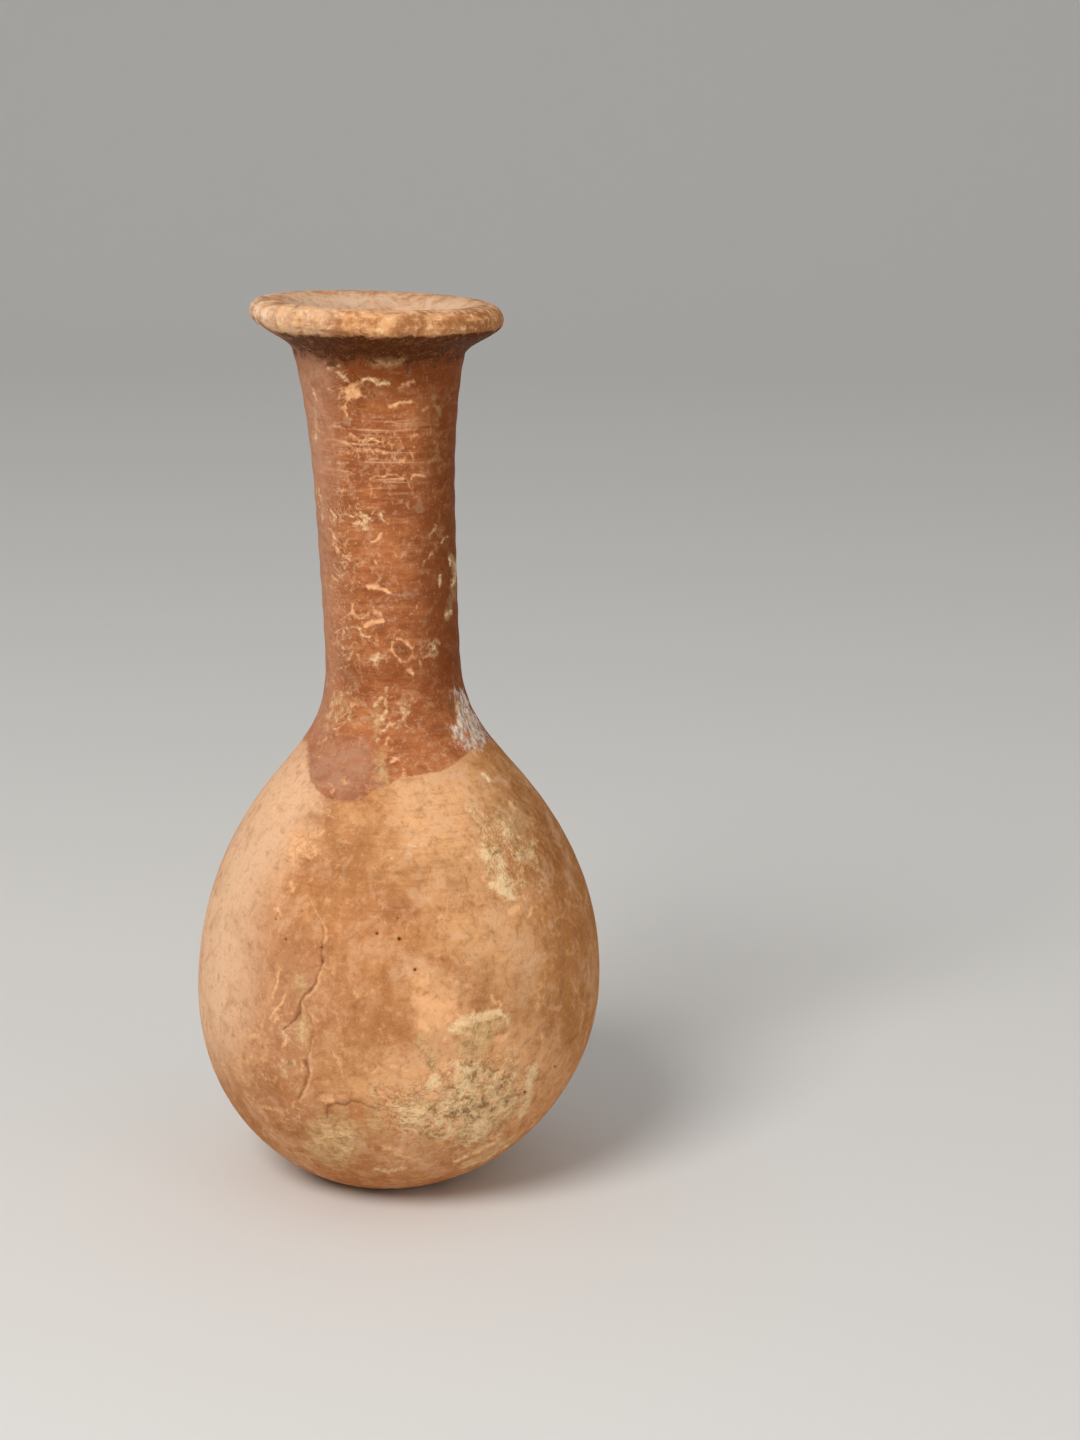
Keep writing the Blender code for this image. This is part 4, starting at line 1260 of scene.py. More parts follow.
def settle(vessel, shape, studio):
    """Works out where every deposit and flaw lies on the skin, and where shade is painted, and keeps
    that on the mesh.
    """
    mesh = vessel.data
    points = coordinates(mesh)
    outside = (read_numbers(mesh, "outside") > 0.5).astype(float)
    pixels, back = seen_at(points, studio)
    front = smooth(np.einsum("ij,ij->i", vertex_normals(mesh), back), 0.0, 0.16) * outside
    hidden = outside - front
    turn = np.arctan2(points[:, 0], -points[:, 1])
    heights = points[:, 2] / MM
    middling = clouds(points, *MIDDLING_CLOUDS)
    broad = clouds(points, *BROAD_CLOUDS)
    body = smooth(heights, *BODY_HEIGHTS)
    wobbled = jittered(jittered(pixels, 2.6, 11.0), 1.2, 4.0)
    fields = {kind: mark_field(wobbled, marks) * front for kind, marks in MARKS.items()}
    low_body = smooth(heights, *LOW_BODY_HEIGHTS)
    fields["lime"] += hidden * low_body * smooth(middling, 0.0, 0.9) * 0.7
    fields["green"] += hidden * low_body * smooth(-middling, 0.05, 0.9) * 0.7
    fields["rough"] += hidden * low_body * smooth(-broad, -0.2, 0.6) * 0.6
    fields["lace"] += hidden * low_body * smooth(broad, -0.2, 0.6) * 0.6
    fields["spall"] += hidden * smooth(clouds(points, *FLAKE_CLOUDS), 0.3, 0.9) * 0.7
    fields["slip"] = np.where(outside > 0, slip_depth(pixels, front, points, turn), -4)
    fields["crack"] = ridge_field(pixels, CRACKS) * front
    fields["raised_lit_edge"] = ridge_field(pixels, RAISED_LIT_EDGES) * front
    fields["pit"] = dot_field(pixels, PITS) * front
    fields["speck"] = dot_field(pixels, SPECKS) * front
    fields["groove"] = np.clip(1 - line_distance(pixels, GROOVE) / 2.6, 0, 1) * front
    behind = smooth(-turn, *SIDE_FADE) * outside
    west = smooth(-turn + 0.2 * smooth(heights, *SHOULDER_HEIGHTS), *WEST_TURNS) * behind
    bleach = west * body * smooth(pixels[:, 1], *BLEACH_ROWS)
    bleach = np.maximum(bleach, smooth(pixels[:, 0], *NECK_HAZE_COLUMNS) * (1 - body) * behind)
    lip_end = smooth(pixels[:, 0], *LIP_END_COLUMNS) * smooth(heights, *LIP_END_HEIGHTS)
    lip_end *= smooth(-turn, *LIP_END_FADE) * outside
    fields["chalk"] = np.maximum(fields["chalk"], 0.46 * lip_end)
    bleach = np.maximum(bleach, 0.4 * lip_end)
    fields["bleach"] = np.maximum(bleach, hidden * smooth(broad, 0.2, 0.9) * body * 0.5)
    # Down the right side, away from the light, painted shade in the brown film's colour, less low on
    # the front; on the hidden side, a film of earth in clouds
    east = smooth(turn, *EAST_TURNS) * smooth(turn, *SIDE_FADE) * outside
    east *= smooth(heights, *RIGHT_SIDE_SHADE_HEIGHTS) * (1 - 0.7 * front * smooth(pixels[:, 1], *RIGHT_SIDE_SHADE_ROWS))
    fields["film"] = np.maximum(east, hidden * smooth(-broad, 0.0, 0.8) * 0.7)
    fields["rim"] = smooth(heights, *RIM_HEIGHTS) * outside
    # Painted shade down the neck's right side, away from the light, kept with the brown stains
    shade = smooth(pixels[:, 0], *NECK_SHADE_COLUMNS) * smooth(turn, *NECK_SHADE_FADE) * outside
    shade *= smooth(heights, *NECK_SHADE_HEIGHTS) * (1 - smooth(heights, 123, 125))
    fields["umber_and_shade"] = np.maximum(fields["umber_and_shade"], shade)
    fields["ribs"] = band(heights, *NECK_RIBS) * outside
    fields["ribs"] += 0.8 * band(heights, *SHOULDER_RIBS) * outside * (1 - west)
    # Painted shade under the lip, lighter towards the left, where the light comes from
    fields["under"] = band(heights, *UNDER_RIM_SHADE) * outside
    fields["under"] *= 1 - 0.35 * smooth(-turn, 0.5, 1.2)
    below_crest = (shape.height - thrown_heights(mesh)) / MM
    fields["inner"] = 0.5 + (0.5 - outside) * smooth(below_crest, 0.0, 1.1)
    for name, values in fields.items():
        write_numbers(mesh, name, values)
    return fields


def weather(vessel, relief, fields):
    """Shapes the relief: rings, swells, cracks, pits, flakes and crust."""
    mesh = vessel.data
    points = coordinates(mesh)
    normals = vertex_normals(mesh)
    wall = 1 - fields["inner"]
    turn = np.arctan2(points[:, 0], -points[:, 1])
    heights = points[:, 2] / MM
    fine = clouds(points, *FINE_CLOUDS)
    middling = clouds(points, *MIDDLING_CLOUDS)
    broad = clouds(points, *BROAD_CLOUDS)
    neck = smooth(heights, *NECK_HEIGHTS)
    rings = np.sin(heights * 1.55 + turn * 0.5 + 1.8 * middling)
    rise = -relief.unevenness * (0.4 + broad) * wall
    turned = (0.35 + 0.65 * neck) * smooth(heights, *RING_HEIGHTS) * (1 - fields["rim"]) * wall
    rise += relief.finger_rings * rings * turned
    rise -= relief.groove * fields["groove"]
    rise -= relief.crack * fields["crack"]
    rise += relief.crack * 0.4 * fields["raised_lit_edge"]
    rise -= relief.pit * fields["pit"]
    rise -= relief.spall * smooth(fields["spall"], 0.35, 0.65)
    crust = np.maximum(fields["lime"], fields["green"])
    thickness = relief.crust * (0.2 + 0.8 * smooth(np.cos(turn), 0.05, 0.6))
    thickness *= smooth(heights, *CRUST_HEIGHTS)
    rise += thickness * smooth(crust, 0.2, 0.5) * smooth(crust + 0.5 * fine, 0.42, 0.95)
    rise += thickness * 1.6 * smooth(fields["rough"], 0.2, 0.8) * fine
    chalk = smooth(fields["chalk"], 0.2, 0.5) * smooth(fields["chalk"] + 0.6 * fine, 0.3, 0.8)
    rise += relief.crust * 2.0 * chalk
    worn = band(heights, *WORN_LIP) * wall * smooth(fine + 0.5 * middling, 0.0, 1.0)
    rise -= relief.rim_wear * worn
    off_the_foot = smooth(np.hypot(points[:, 0], points[:, 1]) / MM, 9.6, 12.0)
    rise *= np.maximum(off_the_foot, heights > 4)
    points += normals * np.clip(rise, -MOST_RELIEF, MOST_RELIEF)[:, None]
    low = np.array(CAD_BOX[0]) + 1e-5
    high = np.array(CAD_BOX[1]) - 1e-5
    low[2] = 0.0
    set_coordinates(mesh, np.clip(points, low, high))


# Where a colour mix has its share and its two colours among the sockets
MIX_SHARE = 0
MIX_FIRST = 6
MIX_SECOND = 7


class Recipe:
    """Adds and joins the nodes of one material."""

    def __init__(self, name):
        self.material = bpy.data.materials.new(name)
        self.material.use_nodes = True
        self.nodes = self.material.node_tree.nodes
        self.links = self.material.node_tree.links
        self.shader = self.nodes["Principled BSDF"]

    def feed(self, socket, value):
        """Links a socket to another, or sets it to a number or a colour."""
        if isinstance(value, bpy.types.NodeSocket):
            self.links.new(value, socket)
        elif isinstance(value, (int, float)):
            socket.default_value = value
        else:
            filled = tuple(value)
            socket.default_value = filled + (1.0,) * (len(socket.default_value) - len(filled))

    def sum(self, operation, first, second=0.0, clamp=False):
        """One sum on two values."""
        node = self.nodes.new("ShaderNodeMath")
        node.operation = operation
        node.use_clamp = clamp
        self.feed(node.inputs[0], first)
        self.feed(node.inputs[1], second)
        return node.outputs[0]

    def times(self, first, second):
        return self.sum("MULTIPLY", first, second)

    def plus(self, first, second):
        return self.sum("ADD", first, second)

    def centred(self, value):
        """A noise of about a half, moved to about zero."""
        return self.sum("SUBTRACT", value, 0.5)

    def kept(self, name, output="Fac"):
        """A value kept on the mesh."""
        node = self.nodes.new("ShaderNodeAttribute")
        node.attribute_name = name
        return node.outputs[output]

    def spread(self, vector, scale):
        """Coordinates in millimetres, stretched along each axis."""
        node = self.nodes.new("ShaderNodeMapping")
        self.feed(node.inputs["Vector"], vector)
        node.inputs["Scale"].default_value = [number / MM for number in scale]
        return node.outputs[0]

    def grain(self, vector, scale, detail=3.0, roughness=0.55, distortion=0.0):
        """Noise, about 0.5 on average, with a given number of grains to the millimetre."""
        node = self.nodes.new("ShaderNodeTexNoise")
        self.feed(node.inputs["Vector"], vector)
        node.inputs["Scale"].default_value = scale
        node.inputs["Detail"].default_value = detail
        node.inputs["Roughness"].default_value = roughness
        node.inputs["Distortion"].default_value = distortion
        return node.outputs["Fac"]

    def ease(self, value, low, high, bottom=0.0, top=1.0):
        """A smooth step from one value to another."""
        node = self.nodes.new("ShaderNodeMapRange")
        node.interpolation_type = "SMOOTHSTEP"
        self.feed(node.inputs["Value"], value)
        node.inputs["From Min"].default_value = low
        node.inputs["From Max"].default_value = high
        node.inputs["To Min"].default_value = bottom
        node.inputs["To Max"].default_value = top
        return node.outputs["Result"]

    def blend(self, share, first, second):
        """A mix of two colours."""
        node = self.nodes.new("ShaderNodeMix")
        node.data_type = "RGBA"
        self.feed(node.inputs[MIX_SHARE], share)
        self.feed(node.inputs[MIX_FIRST], first)
        self.feed(node.inputs[MIX_SECOND], second)
        return node.outputs[2]

    def ragged(self, field, rough_noise, reach, edge=0.24):
        """A patch with a torn edge: a field of about a half on its outline, broken by noise."""
        push = self.times(self.centred(rough_noise), reach)
        return self.ease(self.plus(field, push), 0.5 - edge, 0.5 + edge)

    def mottle(self, colour, value, spread, strength, dark, pale):
        """Clouds a colour both ways: darker where a noise is low, paler where it is high."""
        near, far = spread * 0.15, spread
        colour = self.blend(self.ease(value, 0.5 + near, 0.5 + far, 0.0, strength), colour, pale)
        return self.blend(self.ease(value, 0.5 - near, 0.5 - far, 0.0, strength), colour, dark)

    def hairlines(self, vector, per_millimetre, thickness, mask):
        """Long curling hairlines: where a slow noise passes one half, in broken stretches."""
        slow = self.grain(vector, per_millimetre, 2.0, 0.5, 1.4)
        gap = self.sum("ABSOLUTE", self.centred(slow))
        return self.times(self.ease(gap, 0.0, thickness, 1.0, 0.0), mask)


def bare_clay(recipe, colours, grains):
    """Clay: slow red clouds, a bleached side, rosy, ochre and brown parts, a brown film, painted shade
    down the right side and low on the left, mottles and hairlines.
    """
    colour = recipe.blend(recipe.ease(grains["clouds"], 0.36, 0.66), colours.clay_dark, colours.clay)
    for name, tint in (("rosy", colours.rosy), ("ochre", colours.ochre)):
        share = recipe.plus(recipe.kept(name), recipe.times(grains["flakes"], 0.3))
        colour = recipe.blend(recipe.ease(share, 0.15, 1.1), colour, tint)
    colour = recipe.mottle(colour, grains["turned"], 0.22, 0.12, colours.clay_dark, colours.clay_pale)
    colour = recipe.mottle(colour, grains["runs"], 0.2, 0.30, colours.clay_deep, colours.golden)
    bleach = recipe.times(recipe.kept("bleach"), recipe.ease(grains["flakes"], 0.25, 0.6, 0.75, 1.0))
    colour = recipe.blend(bleach, colour, colours.clay_pale)
    inner = recipe.ragged(recipe.kept("inner"), grains["flakes"], 2.4, 0.4)
    colour = recipe.blend(inner, colour, colours.dish)
    brown = recipe.times(inner, recipe.ease(grains["blotches"], 0.55, 0.38, 0.0, 0.36))
    colour = recipe.blend(brown, colour, colours.clay)
    # Brown film and brown stains, which also carry painted shade down the right side, on the right
    # shoulder, down the neck's right side and low on the left
    for name, tint in (("film", colours.film), ("umber_and_shade", colours.umber_and_shade)):
        share = recipe.times(recipe.kept(name), recipe.ease(grains["runs"], 0.38, 0.60, 0.15, 0.95))
        colour = recipe.blend(share, colour, tint)
    pale = recipe.times(recipe.kept("pale"), recipe.ease(grains["flakes"], 0.3, 0.62, 0.4, 0.95))
    colour = recipe.blend(pale, colour, colours.golden)
    ribs = recipe.times(recipe.kept("ribs"), recipe.ease(grains["turned"], 0.50, 0.36, 0.0, 0.34))
    colour = recipe.blend(ribs, colour, colours.clay_deep)
    colour = recipe.mottle(colour, grains["clouds"], 0.16, 0.26, colours.clay_deep, colours.clay_pale)
    colour = recipe.mottle(colour, grains["blotches"], 0.18, 0.36, colours.clay_deep, colours.clay_pale)
    colour = recipe.mottle(colour, grains["flakes"], 0.2, 0.42, colours.clay_deep, colours.spall)
    colour = recipe.mottle(colour, grains["crumbs"], 0.2, 0.30, colours.clay_deep, colours.spall)
    colour = recipe.blend(recipe.times(bleach, 0.3), colour, colours.clay_pale)
    stretches = recipe.ease(grains["flakes"], 0.48, 0.62, 0.0, 0.32)
    pale_lines = recipe.hairlines(grains["space"], 0.10, 0.006, stretches)
    colour = recipe.blend(pale_lines, colour, colours.spall)
    stretches = recipe.ease(grains["crumbs"], 0.50, 0.64, 0.0, 0.3)
    dark_lines = recipe.hairlines(grains["space"], 0.17, 0.006, stretches)
    return recipe.blend(dark_lines, colour, colours.clay_deep)


def slipped(recipe, colours, grains, colour):
    """Lays the slip on: thick and thin, streaked by the brush, worn and dusty, with painted shade down
    the neck's right side.
    """
    edge = recipe.plus(recipe.kept("slip"), recipe.times(recipe.centred(grains["crumbs"]), 0.9))
    slip = recipe.ease(edge, -0.14, 0.18)
    worn = recipe.times(recipe.kept("rim"), recipe.ease(grains["flakes"], 0.32, 0.56, 0.68, 0.99))
    worn = recipe.sum("ADD", worn, recipe.ease(grains["strokes"], 0.58, 0.72, 0.0, 0.45), True)
    thickness = recipe.plus(recipe.times(grains["clouds"], 0.5), recipe.times(grains["strokes"], 0.5))
    paint = recipe.blend(recipe.ease(thickness, 0.40, 0.60), colours.slip_dark, colours.slip)
    ribs = recipe.times(recipe.kept("ribs"), recipe.ease(grains["turned"], 0.53, 0.66, 0.0, 0.55))
    paint = recipe.blend(ribs, paint, colours.spall)
    ribs = recipe.times(recipe.kept("ribs"), recipe.ease(grains["turned"], 0.47, 0.36, 0.0, 0.6))
    paint = recipe.blend(ribs, paint, colours.slip_dark)
    paint = recipe.mottle(paint, grains["turned"], 0.2, 0.16, colours.slip_dark, colours.clay_pale)
    paint = recipe.mottle(paint, grains["blotches"], 0.2, 0.30, colours.slip_dark, colours.clay)
    paint = recipe.mottle(paint, grains["flakes"], 0.2, 0.42, colours.slip_dark, colours.clay_pale)
    paint = recipe.mottle(paint, grains["crumbs"], 0.2, 0.36, colours.slip_dark, colours.clay_pale)
    # Painted shade, and the brown stains, darken the slip
    shade = recipe.times(recipe.kept("umber_and_shade"), recipe.ease(grains["flakes"], 0.36, 0.62, 1.0, 0.75))
    paint = recipe.blend(shade, paint, colours.stained_and_shaded_slip)
    dust = recipe.sum("MAXIMUM", recipe.kept("rosy"), recipe.kept("bleach"))
    dust = recipe.times(dust, recipe.ease(grains["flakes"], 0.36, 0.62, 0.5, 0.95))
    paint = recipe.blend(dust, paint, colours.slip_dusty)
    cover = recipe.times(slip, recipe.sum("SUBTRACT", 1.0, worn))
    return recipe.blend(cover, colour, paint), cover


def terracotta(colours):
    """The whole skin of the bottle: clay, slip, spalls, lime, green film, chalk, cracks and dirt, with
    painted shade and painted highlights.
    """
    recipe = Recipe("terracotta")
    held = recipe.nodes.new("ShaderNodeTexCoord").outputs["Object"]
    thrown = recipe.kept("thrown", "Vector")
    space = recipe.spread(held, (1, 1, 1))
    grains = {
        "space": space,
        "clouds": recipe.grain(space, 0.11, 4.0, 0.6),
        "blotches": recipe.grain(space, 0.26, 4.0, 0.62, 0.7),
        "flakes": recipe.grain(space, 0.55, 5.0, 0.66, 0.5),
        "crumbs": recipe.grain(space, 1.3, 4.0, 0.62, 0.3),
        "powder": recipe.grain(space, 3.4, 3.0, 0.6),
        "curls": recipe.grain(space, 0.62, 1.4, 0.5, 1.4),
        "folds": recipe.grain(space, 0.34, 1.6, 0.5, 1.2),
        "grit": recipe.grain(space, 0.64, 3.0, 0.6, 0.9),
        "streaks": recipe.grain(recipe.spread(held, (1.5, 1.5, 0.4)), 1.0, 4.0, 0.65, 0.5),
        "runs": recipe.grain(recipe.spread(held, (0.5, 0.5, 0.14)), 1.0, 5.0, 0.65),
        "strokes": recipe.grain(recipe.spread(thrown, (0.30, 0.30, 1.1)), 1.0, 5.0, 0.66, 0.6),
        "turned": recipe.grain(recipe.spread(thrown, (0.09, 0.09, 1.6)), 1.0, 4.0, 0.7, 0.3),
    }
    colour = bare_clay(recipe, colours, grains)
    colour, cover = slipped(recipe, colours, grains, colour)

    # What has settled on the skin, and what has flaked off
    green = recipe.ragged(recipe.kept("green"), grains["flakes"], 1.1, 0.36)
    green_share = recipe.times(green, recipe.ease(grains["crumbs"], 0.3, 0.62, 0.35, 0.8))
    colour = recipe.blend(green_share, colour, colours.green)
    gaps = recipe.times(recipe.centred(grains["blotches"]), 1.6)
    crust = recipe.plus(recipe.kept("rough"), gaps)
    crust = recipe.plus(crust, recipe.times(recipe.centred(grains["flakes"]), 0.8))
    crust = recipe.ease(crust, 0.35, 0.75)
    peach = recipe.times(crust, recipe.ease(grains["flakes"], 0.46, 0.58, 0.0, 0.85))
    colour = recipe.blend(peach, colour, colours.spall)
    mossy = recipe.times(crust, recipe.ease(grains["clouds"], 0.58, 0.46, 0.0, 0.7))
    colour = recipe.blend(mossy, colour, colours.green)
    lime = recipe.ragged(recipe.kept("lime"), grains["crumbs"], 1.1, 0.3)
    lime_share = recipe.times(lime, recipe.ease(grains["flakes"], 0.32, 0.56, 0.65, 1.0))
    colour = recipe.blend(lime_share, colour, colours.lime)
    spall = recipe.ragged(recipe.kept("spall"), grains["crumbs"], 1.0, 0.3)
    spall_share = recipe.times(spall, recipe.ease(grains["flakes"], 0.32, 0.60, 0.5, 1.0))
    colour = recipe.blend(spall_share, colour, colours.spall)
    chalk = recipe.ragged(recipe.kept("chalk"), grains["streaks"], 2.2, 0.3)
    chalk = recipe.times(chalk, recipe.ease(recipe.kept("chalk"), 0.05, 0.3))
    chalk_share = recipe.times(chalk, recipe.ease(grains["crumbs"], 0.3, 0.6, 0.55, 0.95))
    colour = recipe.blend(chalk_share, colour, colours.chalk)
    # Painted highlight along the side of each crack that faces the light
    raised_lit_edge = recipe.ease(recipe.kept("raised_lit_edge"), 0.0, 0.9, 0.0, 0.6)
    raised_lit_edge = recipe.times(raised_lit_edge, recipe.ease(grains["crumbs"], 0.34, 0.6, 0.4, 1.0))
    colour = recipe.blend(raised_lit_edge, colour, colours.spall)

    # Short pale strokes with dark sides
    tint = recipe.blend(recipe.ease(grains["blotches"], 0.42, 0.60), colours.spall, colours.lime)
    broken = recipe.ease(grains["crumbs"], 0.40, 0.56, 0.25, 1.0)
    lace = recipe.plus(recipe.kept("lace"), recipe.times(grains["flakes"], 0.5))
    lace = recipe.ease(lace, 0.5, 1.2)
    curls = grains["curls"]
    crest = recipe.times(recipe.ease(curls, 0.525, 0.555), recipe.ease(curls, 0.64, 0.58))
    crest = recipe.times(recipe.times(crest, broken), lace)
    furrow = recipe.times(recipe.ease(curls, 0.50, 0.47), recipe.ease(curls, 0.41, 0.45))
    furrow = recipe.times(furrow, lace)
    colour = recipe.blend(recipe.times(crest, 0.6), colour, tint)
    colour = recipe.blend(recipe.times(furrow, 0.35), colour, colours.clay_deep)

    # Pale lumps, brown hollows and dark crevices of the crust: the crust's own colours, with a painted
    # highlight on the lumps and painted shade in the hollows and crevices
    lumpy = recipe.sum("MAXIMUM", crust, recipe.times(green, 0.5))
    lumpy = recipe.times(lumpy, recipe.sum("SUBTRACT", 1.0, recipe.times(lime, 0.6)))
    lumps = recipe.plus(recipe.times(grains["grit"], 0.55), recipe.times(grains["folds"], 0.45))
    ridge = recipe.times(recipe.ease(lumps, 0.50, 0.575), lumpy)
    hollow = recipe.times(recipe.ease(lumps, 0.49, 0.42), lumpy)
    crevice = recipe.times(recipe.ease(lumps, 0.44, 0.40), lumpy)
    colour = recipe.blend(recipe.times(ridge, 0.9), colour, tint)
    colour = recipe.blend(recipe.times(hollow, 0.36), colour, colours.umber_and_shade)
    colour = recipe.blend(recipe.times(crevice, 0.35), colour, colours.grime_and_shadow)
    crumb = recipe.times(recipe.ease(grains["crumbs"], 0.52, 0.62, 0.0, 0.85), crust)
    colour = recipe.blend(crumb, colour, colours.lime)

    flecks = recipe.times(recipe.kept("rim"), recipe.ease(grains["flakes"], 0.46, 0.66, 0.0, 0.7))
    colour = recipe.blend(flecks, colour, colours.golden)
    flecks = recipe.times(recipe.kept("rim"), recipe.ease(grains["crumbs"], 0.52, 0.68, 0.0, 0.6))
    colour = recipe.blend(flecks, colour, colours.lime)
    stains = recipe.plus(recipe.times(grains["blotches"], 0.7), recipe.times(grains["turned"], 0.3))
    stains = recipe.times(recipe.kept("rim"), recipe.ease(stains, 0.52, 0.40, 0.0, 0.7))
    colour = recipe.blend(stains, colour, colours.clay_deep)

    # Dirt, and painted shade in the cracks and under the lip
    grime_and_shadow = recipe.ragged(recipe.kept("grime_and_shadow"), grains["crumbs"], 0.7, 0.3)
    colour = recipe.blend(recipe.times(grime_and_shadow, 0.5), colour, colours.grime_and_shadow)
    # Dark cracks: dirt in them, and painted shade on the side away from the light
    broken = recipe.ease(grains["crumbs"], 0.34, 0.6, 0.35, 0.85)
    crack = recipe.times(recipe.ease(recipe.kept("crack"), 0.0, 0.9), broken)
    colour = recipe.blend(crack, colour, colours.grime_and_shadow)
    colour = recipe.blend(recipe.ease(recipe.kept("pit"), 0.1, 0.9, 0.0, 0.85), colour, colours.soot_and_shade)
    colour = recipe.blend(recipe.ease(recipe.kept("speck"), 0.0, 0.9, 0.0, 0.32), colour, colours.grime_and_shadow)
    colour = recipe.blend(recipe.times(recipe.kept("groove"), 0.36), colour, colours.grime_and_shadow)
    # Painted shade under the lip, mottled from the darkest colour to dark brown
    under = recipe.times(recipe.centred(grains["flakes"]), 2.2)
    under = recipe.ease(recipe.plus(recipe.kept("under"), under), 0.15, 0.9, 0.0, 0.96)
    shadow = recipe.blend(recipe.ease(grains["crumbs"], 0.48, 0.66), colours.soot_and_shade, colours.grime_and_shadow)
    colour = recipe.blend(under, colour, shadow)
    powder = grains["powder"]
    colour = recipe.blend(recipe.ease(powder, 0.64, 0.74, 0.0, 0.45), colour, colours.clay_deep)
    colour = recipe.blend(recipe.ease(powder, 0.38, 0.28, 0.0, 0.4), colour, colours.clay_pale)
    recipe.feed(recipe.shader.inputs["Base Color"], colour)

    roughness = recipe.blend(cover, (0.80,) * 3, (0.62,) * 3)
    roughness = recipe.blend(recipe.sum("MAXIMUM", lime, spall), roughness, (0.92,) * 3)
    recipe.feed(recipe.shader.inputs["Roughness"], roughness)
    recipe.shader.inputs["Specular IOR Level"].default_value = 0.06

    # Heights in millimetres
    settled = recipe.sum("MAXIMUM", lime, recipe.sum("MAXIMUM", green, chalk))
    height = recipe.times(powder, 0.05)
    for value, depth in (
        (grains["crumbs"], 0.10),
        (grains["flakes"], 0.11),
        (grains["turned"], 0.07),
        (cover, 0.03),
        (recipe.times(settled, grains["crumbs"]), 0.06),
        (crest, 0.05),
        (furrow, -0.05),
        (ridge, 0.14),
        (hollow, -0.12),
        (crevice, -0.10),
        (spall, -0.05),
        (recipe.kept("crack"), -0.06),
    ):
        height = recipe.plus(height, recipe.times(value, depth))
    bump = recipe.nodes.new("ShaderNodeBump")
    bump.inputs["Distance"].default_value = MM
    bump.inputs["Strength"].default_value = 1.0
    recipe.feed(bump.inputs["Height"], height)
    recipe.feed(recipe.shader.inputs["Normal"], bump.outputs["Normal"])
    return recipe.material


class UNGUENTARIUM_OT_throw(Operator):
    """Throw the bottle: draw its section, spin it and let it lean"""

    bl_idname = "unguentarium.throw"
    bl_label = "Throw the Bottle"

    def execute(self, context):
        settings = of_scene(context)
        shape = settings.shape
        vessel = draw_section(shape)
        spin_section(shape.around)
        points = crowd_to_front(coordinates(vessel.data), shape.crowding)
        set_coordinates(vessel.data, leaned(points, shape, settings.lean))
        thrown = vessel.data.attributes.new("thrown", "FLOAT_VECTOR", "POINT")
        thrown.data.foreach_set("vector", points.astype(np.float32).ravel())
        return {"FINISHED"}


class UNGUENTARIUM_OT_weather(Operator):
    """Crack, chip and encrust the thrown bottle, and give it its clay and slip"""

    bl_idname = "unguentarium.weather"
    bl_label = "Weather the Bottle"

    def execute(self, context):
        settings = of_scene(context)
        vessel = bpy.data.objects[PIECE]
        for reach, softest, smallest in CUTTING_ROUNDS:
            refine_marks(vessel, settings.studio, reach, softest, smallest)
        fields = settle(vessel, settings.shape, settings.studio)
        weather(vessel, settings.relief, fields)
        vessel.data.materials.clear()
        vessel.data.materials.append(terracotta(settings.colours))
        bpy.ops.object.select_all(action="DESELECT")
        vessel.select_set(True)
        context.view_layer.objects.active = vessel
        bpy.ops.object.shade_smooth()
        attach(vessel, "root")
        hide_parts(NODE)
        return {"FINISHED"}


def soft_light(name, place_at, aim, size, power, colour):
    """A round lamp that faces the bottle."""
    light = bpy.data.lights.new(name, "AREA")
    light.shape = "DISK"
    light.size = size
    light.energy = power
    light.color = colour
    lamp = bpy.data.objects.new(name, light)
    bpy.context.scene.collection.objects.link(lamp)
    lamp.location = place_at
    lamp.rotation_euler = (Vector(aim) - Vector(place_at)).to_track_quat("-Z", "Y").to_euler()


def lay_floor(colour):
    """A pale sweep: a floor that curves up into low walls."""
    bpy.ops.object.select_all(action="DESELECT")
    bpy.ops.mesh.primitive_plane_add(size=FLOOR_WIDTH, location=(0, 0, 0))
    floor = bpy.context.object
    floor.name = "floor"
    bpy.ops.object.mode_set(mode="EDIT")
    bpy.ops.mesh.select_mode(type="EDGE")
    bpy.ops.mesh.select_all(action="SELECT")
    bpy.ops.mesh.region_to_loop()
    bpy.ops.mesh.extrude_edges_move(TRANSFORM_OT_translate={"value": (0, 0, WALL_HEIGHT)})
    bpy.ops.mesh.select_all(action="SELECT")
    bpy.ops.mesh.normals_make_consistent(inside=True)
    bpy.ops.object.mode_set(mode="OBJECT")
    bend = floor.modifiers.new("sweep", "BEVEL")
    bend.width = SWEEP_RADIUS
    bend.segments = SWEEP_STEPS
    bpy.ops.object.modifier_apply(modifier="sweep")
    bpy.ops.object.shade_smooth()
    recipe = Recipe("pale floor")
    recipe.feed(recipe.shader.inputs["Base Color"], colour)
    recipe.shader.inputs["Roughness"].default_value = 0.9
    floor.data.materials.append(recipe.material)


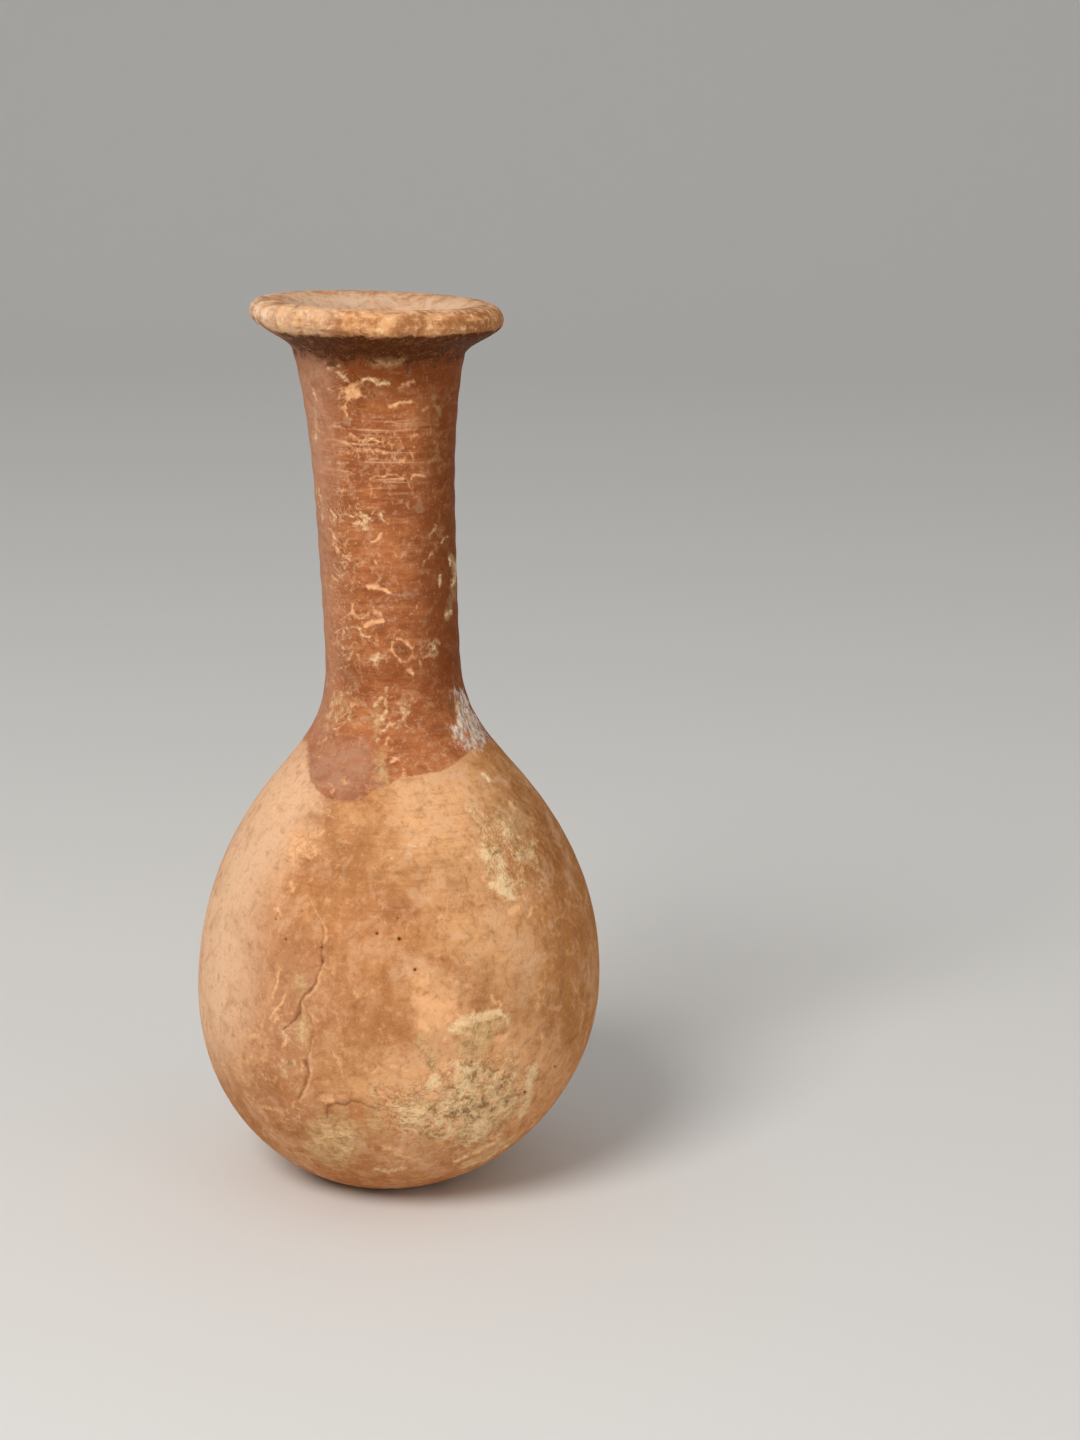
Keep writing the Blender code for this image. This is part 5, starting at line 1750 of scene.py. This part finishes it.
class UNGUENTARIUM_OT_stage(Operator):
    """Lay the floor, light it softly and set the camera"""

    bl_idname = "unguentarium.stage"
    bl_label = "Set the Stage"

    def execute(self, context):
        studio = of_scene(context).studio
        lay_floor(studio.floor)
        aim = (0, 0, studio.aim_height)
        soft_light("key", KEY_PLACE, aim, KEY_WIDTH, studio.key, KEY_COLOUR)
        soft_light("fill", FILL_PLACE, aim, FILL_WIDTH, studio.fill, FILL_COLOUR)
        world = bpy.data.worlds.new("room")
        world.use_nodes = True
        background = world.node_tree.nodes["Background"]
        background.inputs["Color"].default_value = ROOM_COLOUR
        background.inputs["Strength"].default_value = studio.sky
        context.scene.world = world
        context.scene.view_settings.view_transform = "Standard"
        eye, *_, forward = camera_place(studio)
        camera = bpy.data.objects.new("camera", bpy.data.cameras.new("camera"))
        context.scene.collection.objects.link(camera)
        camera.data.lens = studio.lens
        camera.data.sensor_width = SENSOR
        camera.data.shift_x = (PICTURE[0] / 2 - studio.aim_across) / PICTURE[1]
        camera.data.shift_y = (studio.aim_down - PICTURE[1] / 2) / PICTURE[1]
        camera.data.clip_start = NEAR_CLIP
        camera.location = eye
        camera.rotation_euler = Vector(forward).to_track_quat("-Z", "Y").to_euler()
        context.scene.camera = camera
        return {"FINISHED"}


class UNGUENTARIUM_PT_panel(Panel):
    """Makes the bottle, step by step"""

    bl_label = "Unguentarium"
    bl_idname = "UNGUENTARIUM_PT_panel"
    bl_space_type = "VIEW_3D"
    bl_region_type = "UI"
    bl_category = "Unguentarium"

    def draw(self, context):
        settings = of_scene(context)
        steps = (
            (UNGUENTARIUM_OT_throw, (settings.shape, settings.lean)),
            (UNGUENTARIUM_OT_weather, (settings.relief, settings.colours)),
            (UNGUENTARIUM_OT_stage, (settings.studio,)),
        )
        for operator, groups in steps:
            box = self.layout.box()
            box.operator(operator.bl_idname)
            for group in groups:
                for name in group.__annotations__:
                    box.prop(group, name)


CLASSES = (
    ThrownShape,
    Lean,
    Relief,
    Colours,
    Studio,
    UnguentariumSettings,
    UNGUENTARIUM_OT_throw,
    UNGUENTARIUM_OT_weather,
    UNGUENTARIUM_OT_stage,
    UNGUENTARIUM_PT_panel,
)


def register():
    for kind in CLASSES:
        bpy.utils.register_class(kind)
    bpy.types.Scene.unguentarium = PointerProperty(type=UnguentariumSettings)


def unregister():
    del bpy.types.Scene.unguentarium
    for kind in reversed(CLASSES):
        bpy.utils.unregister_class(kind)


def main():
    register()
    bpy.ops.unguentarium.throw()
    bpy.ops.unguentarium.weather()
    bpy.ops.unguentarium.stage()


if __name__ == "__main__":
    main()
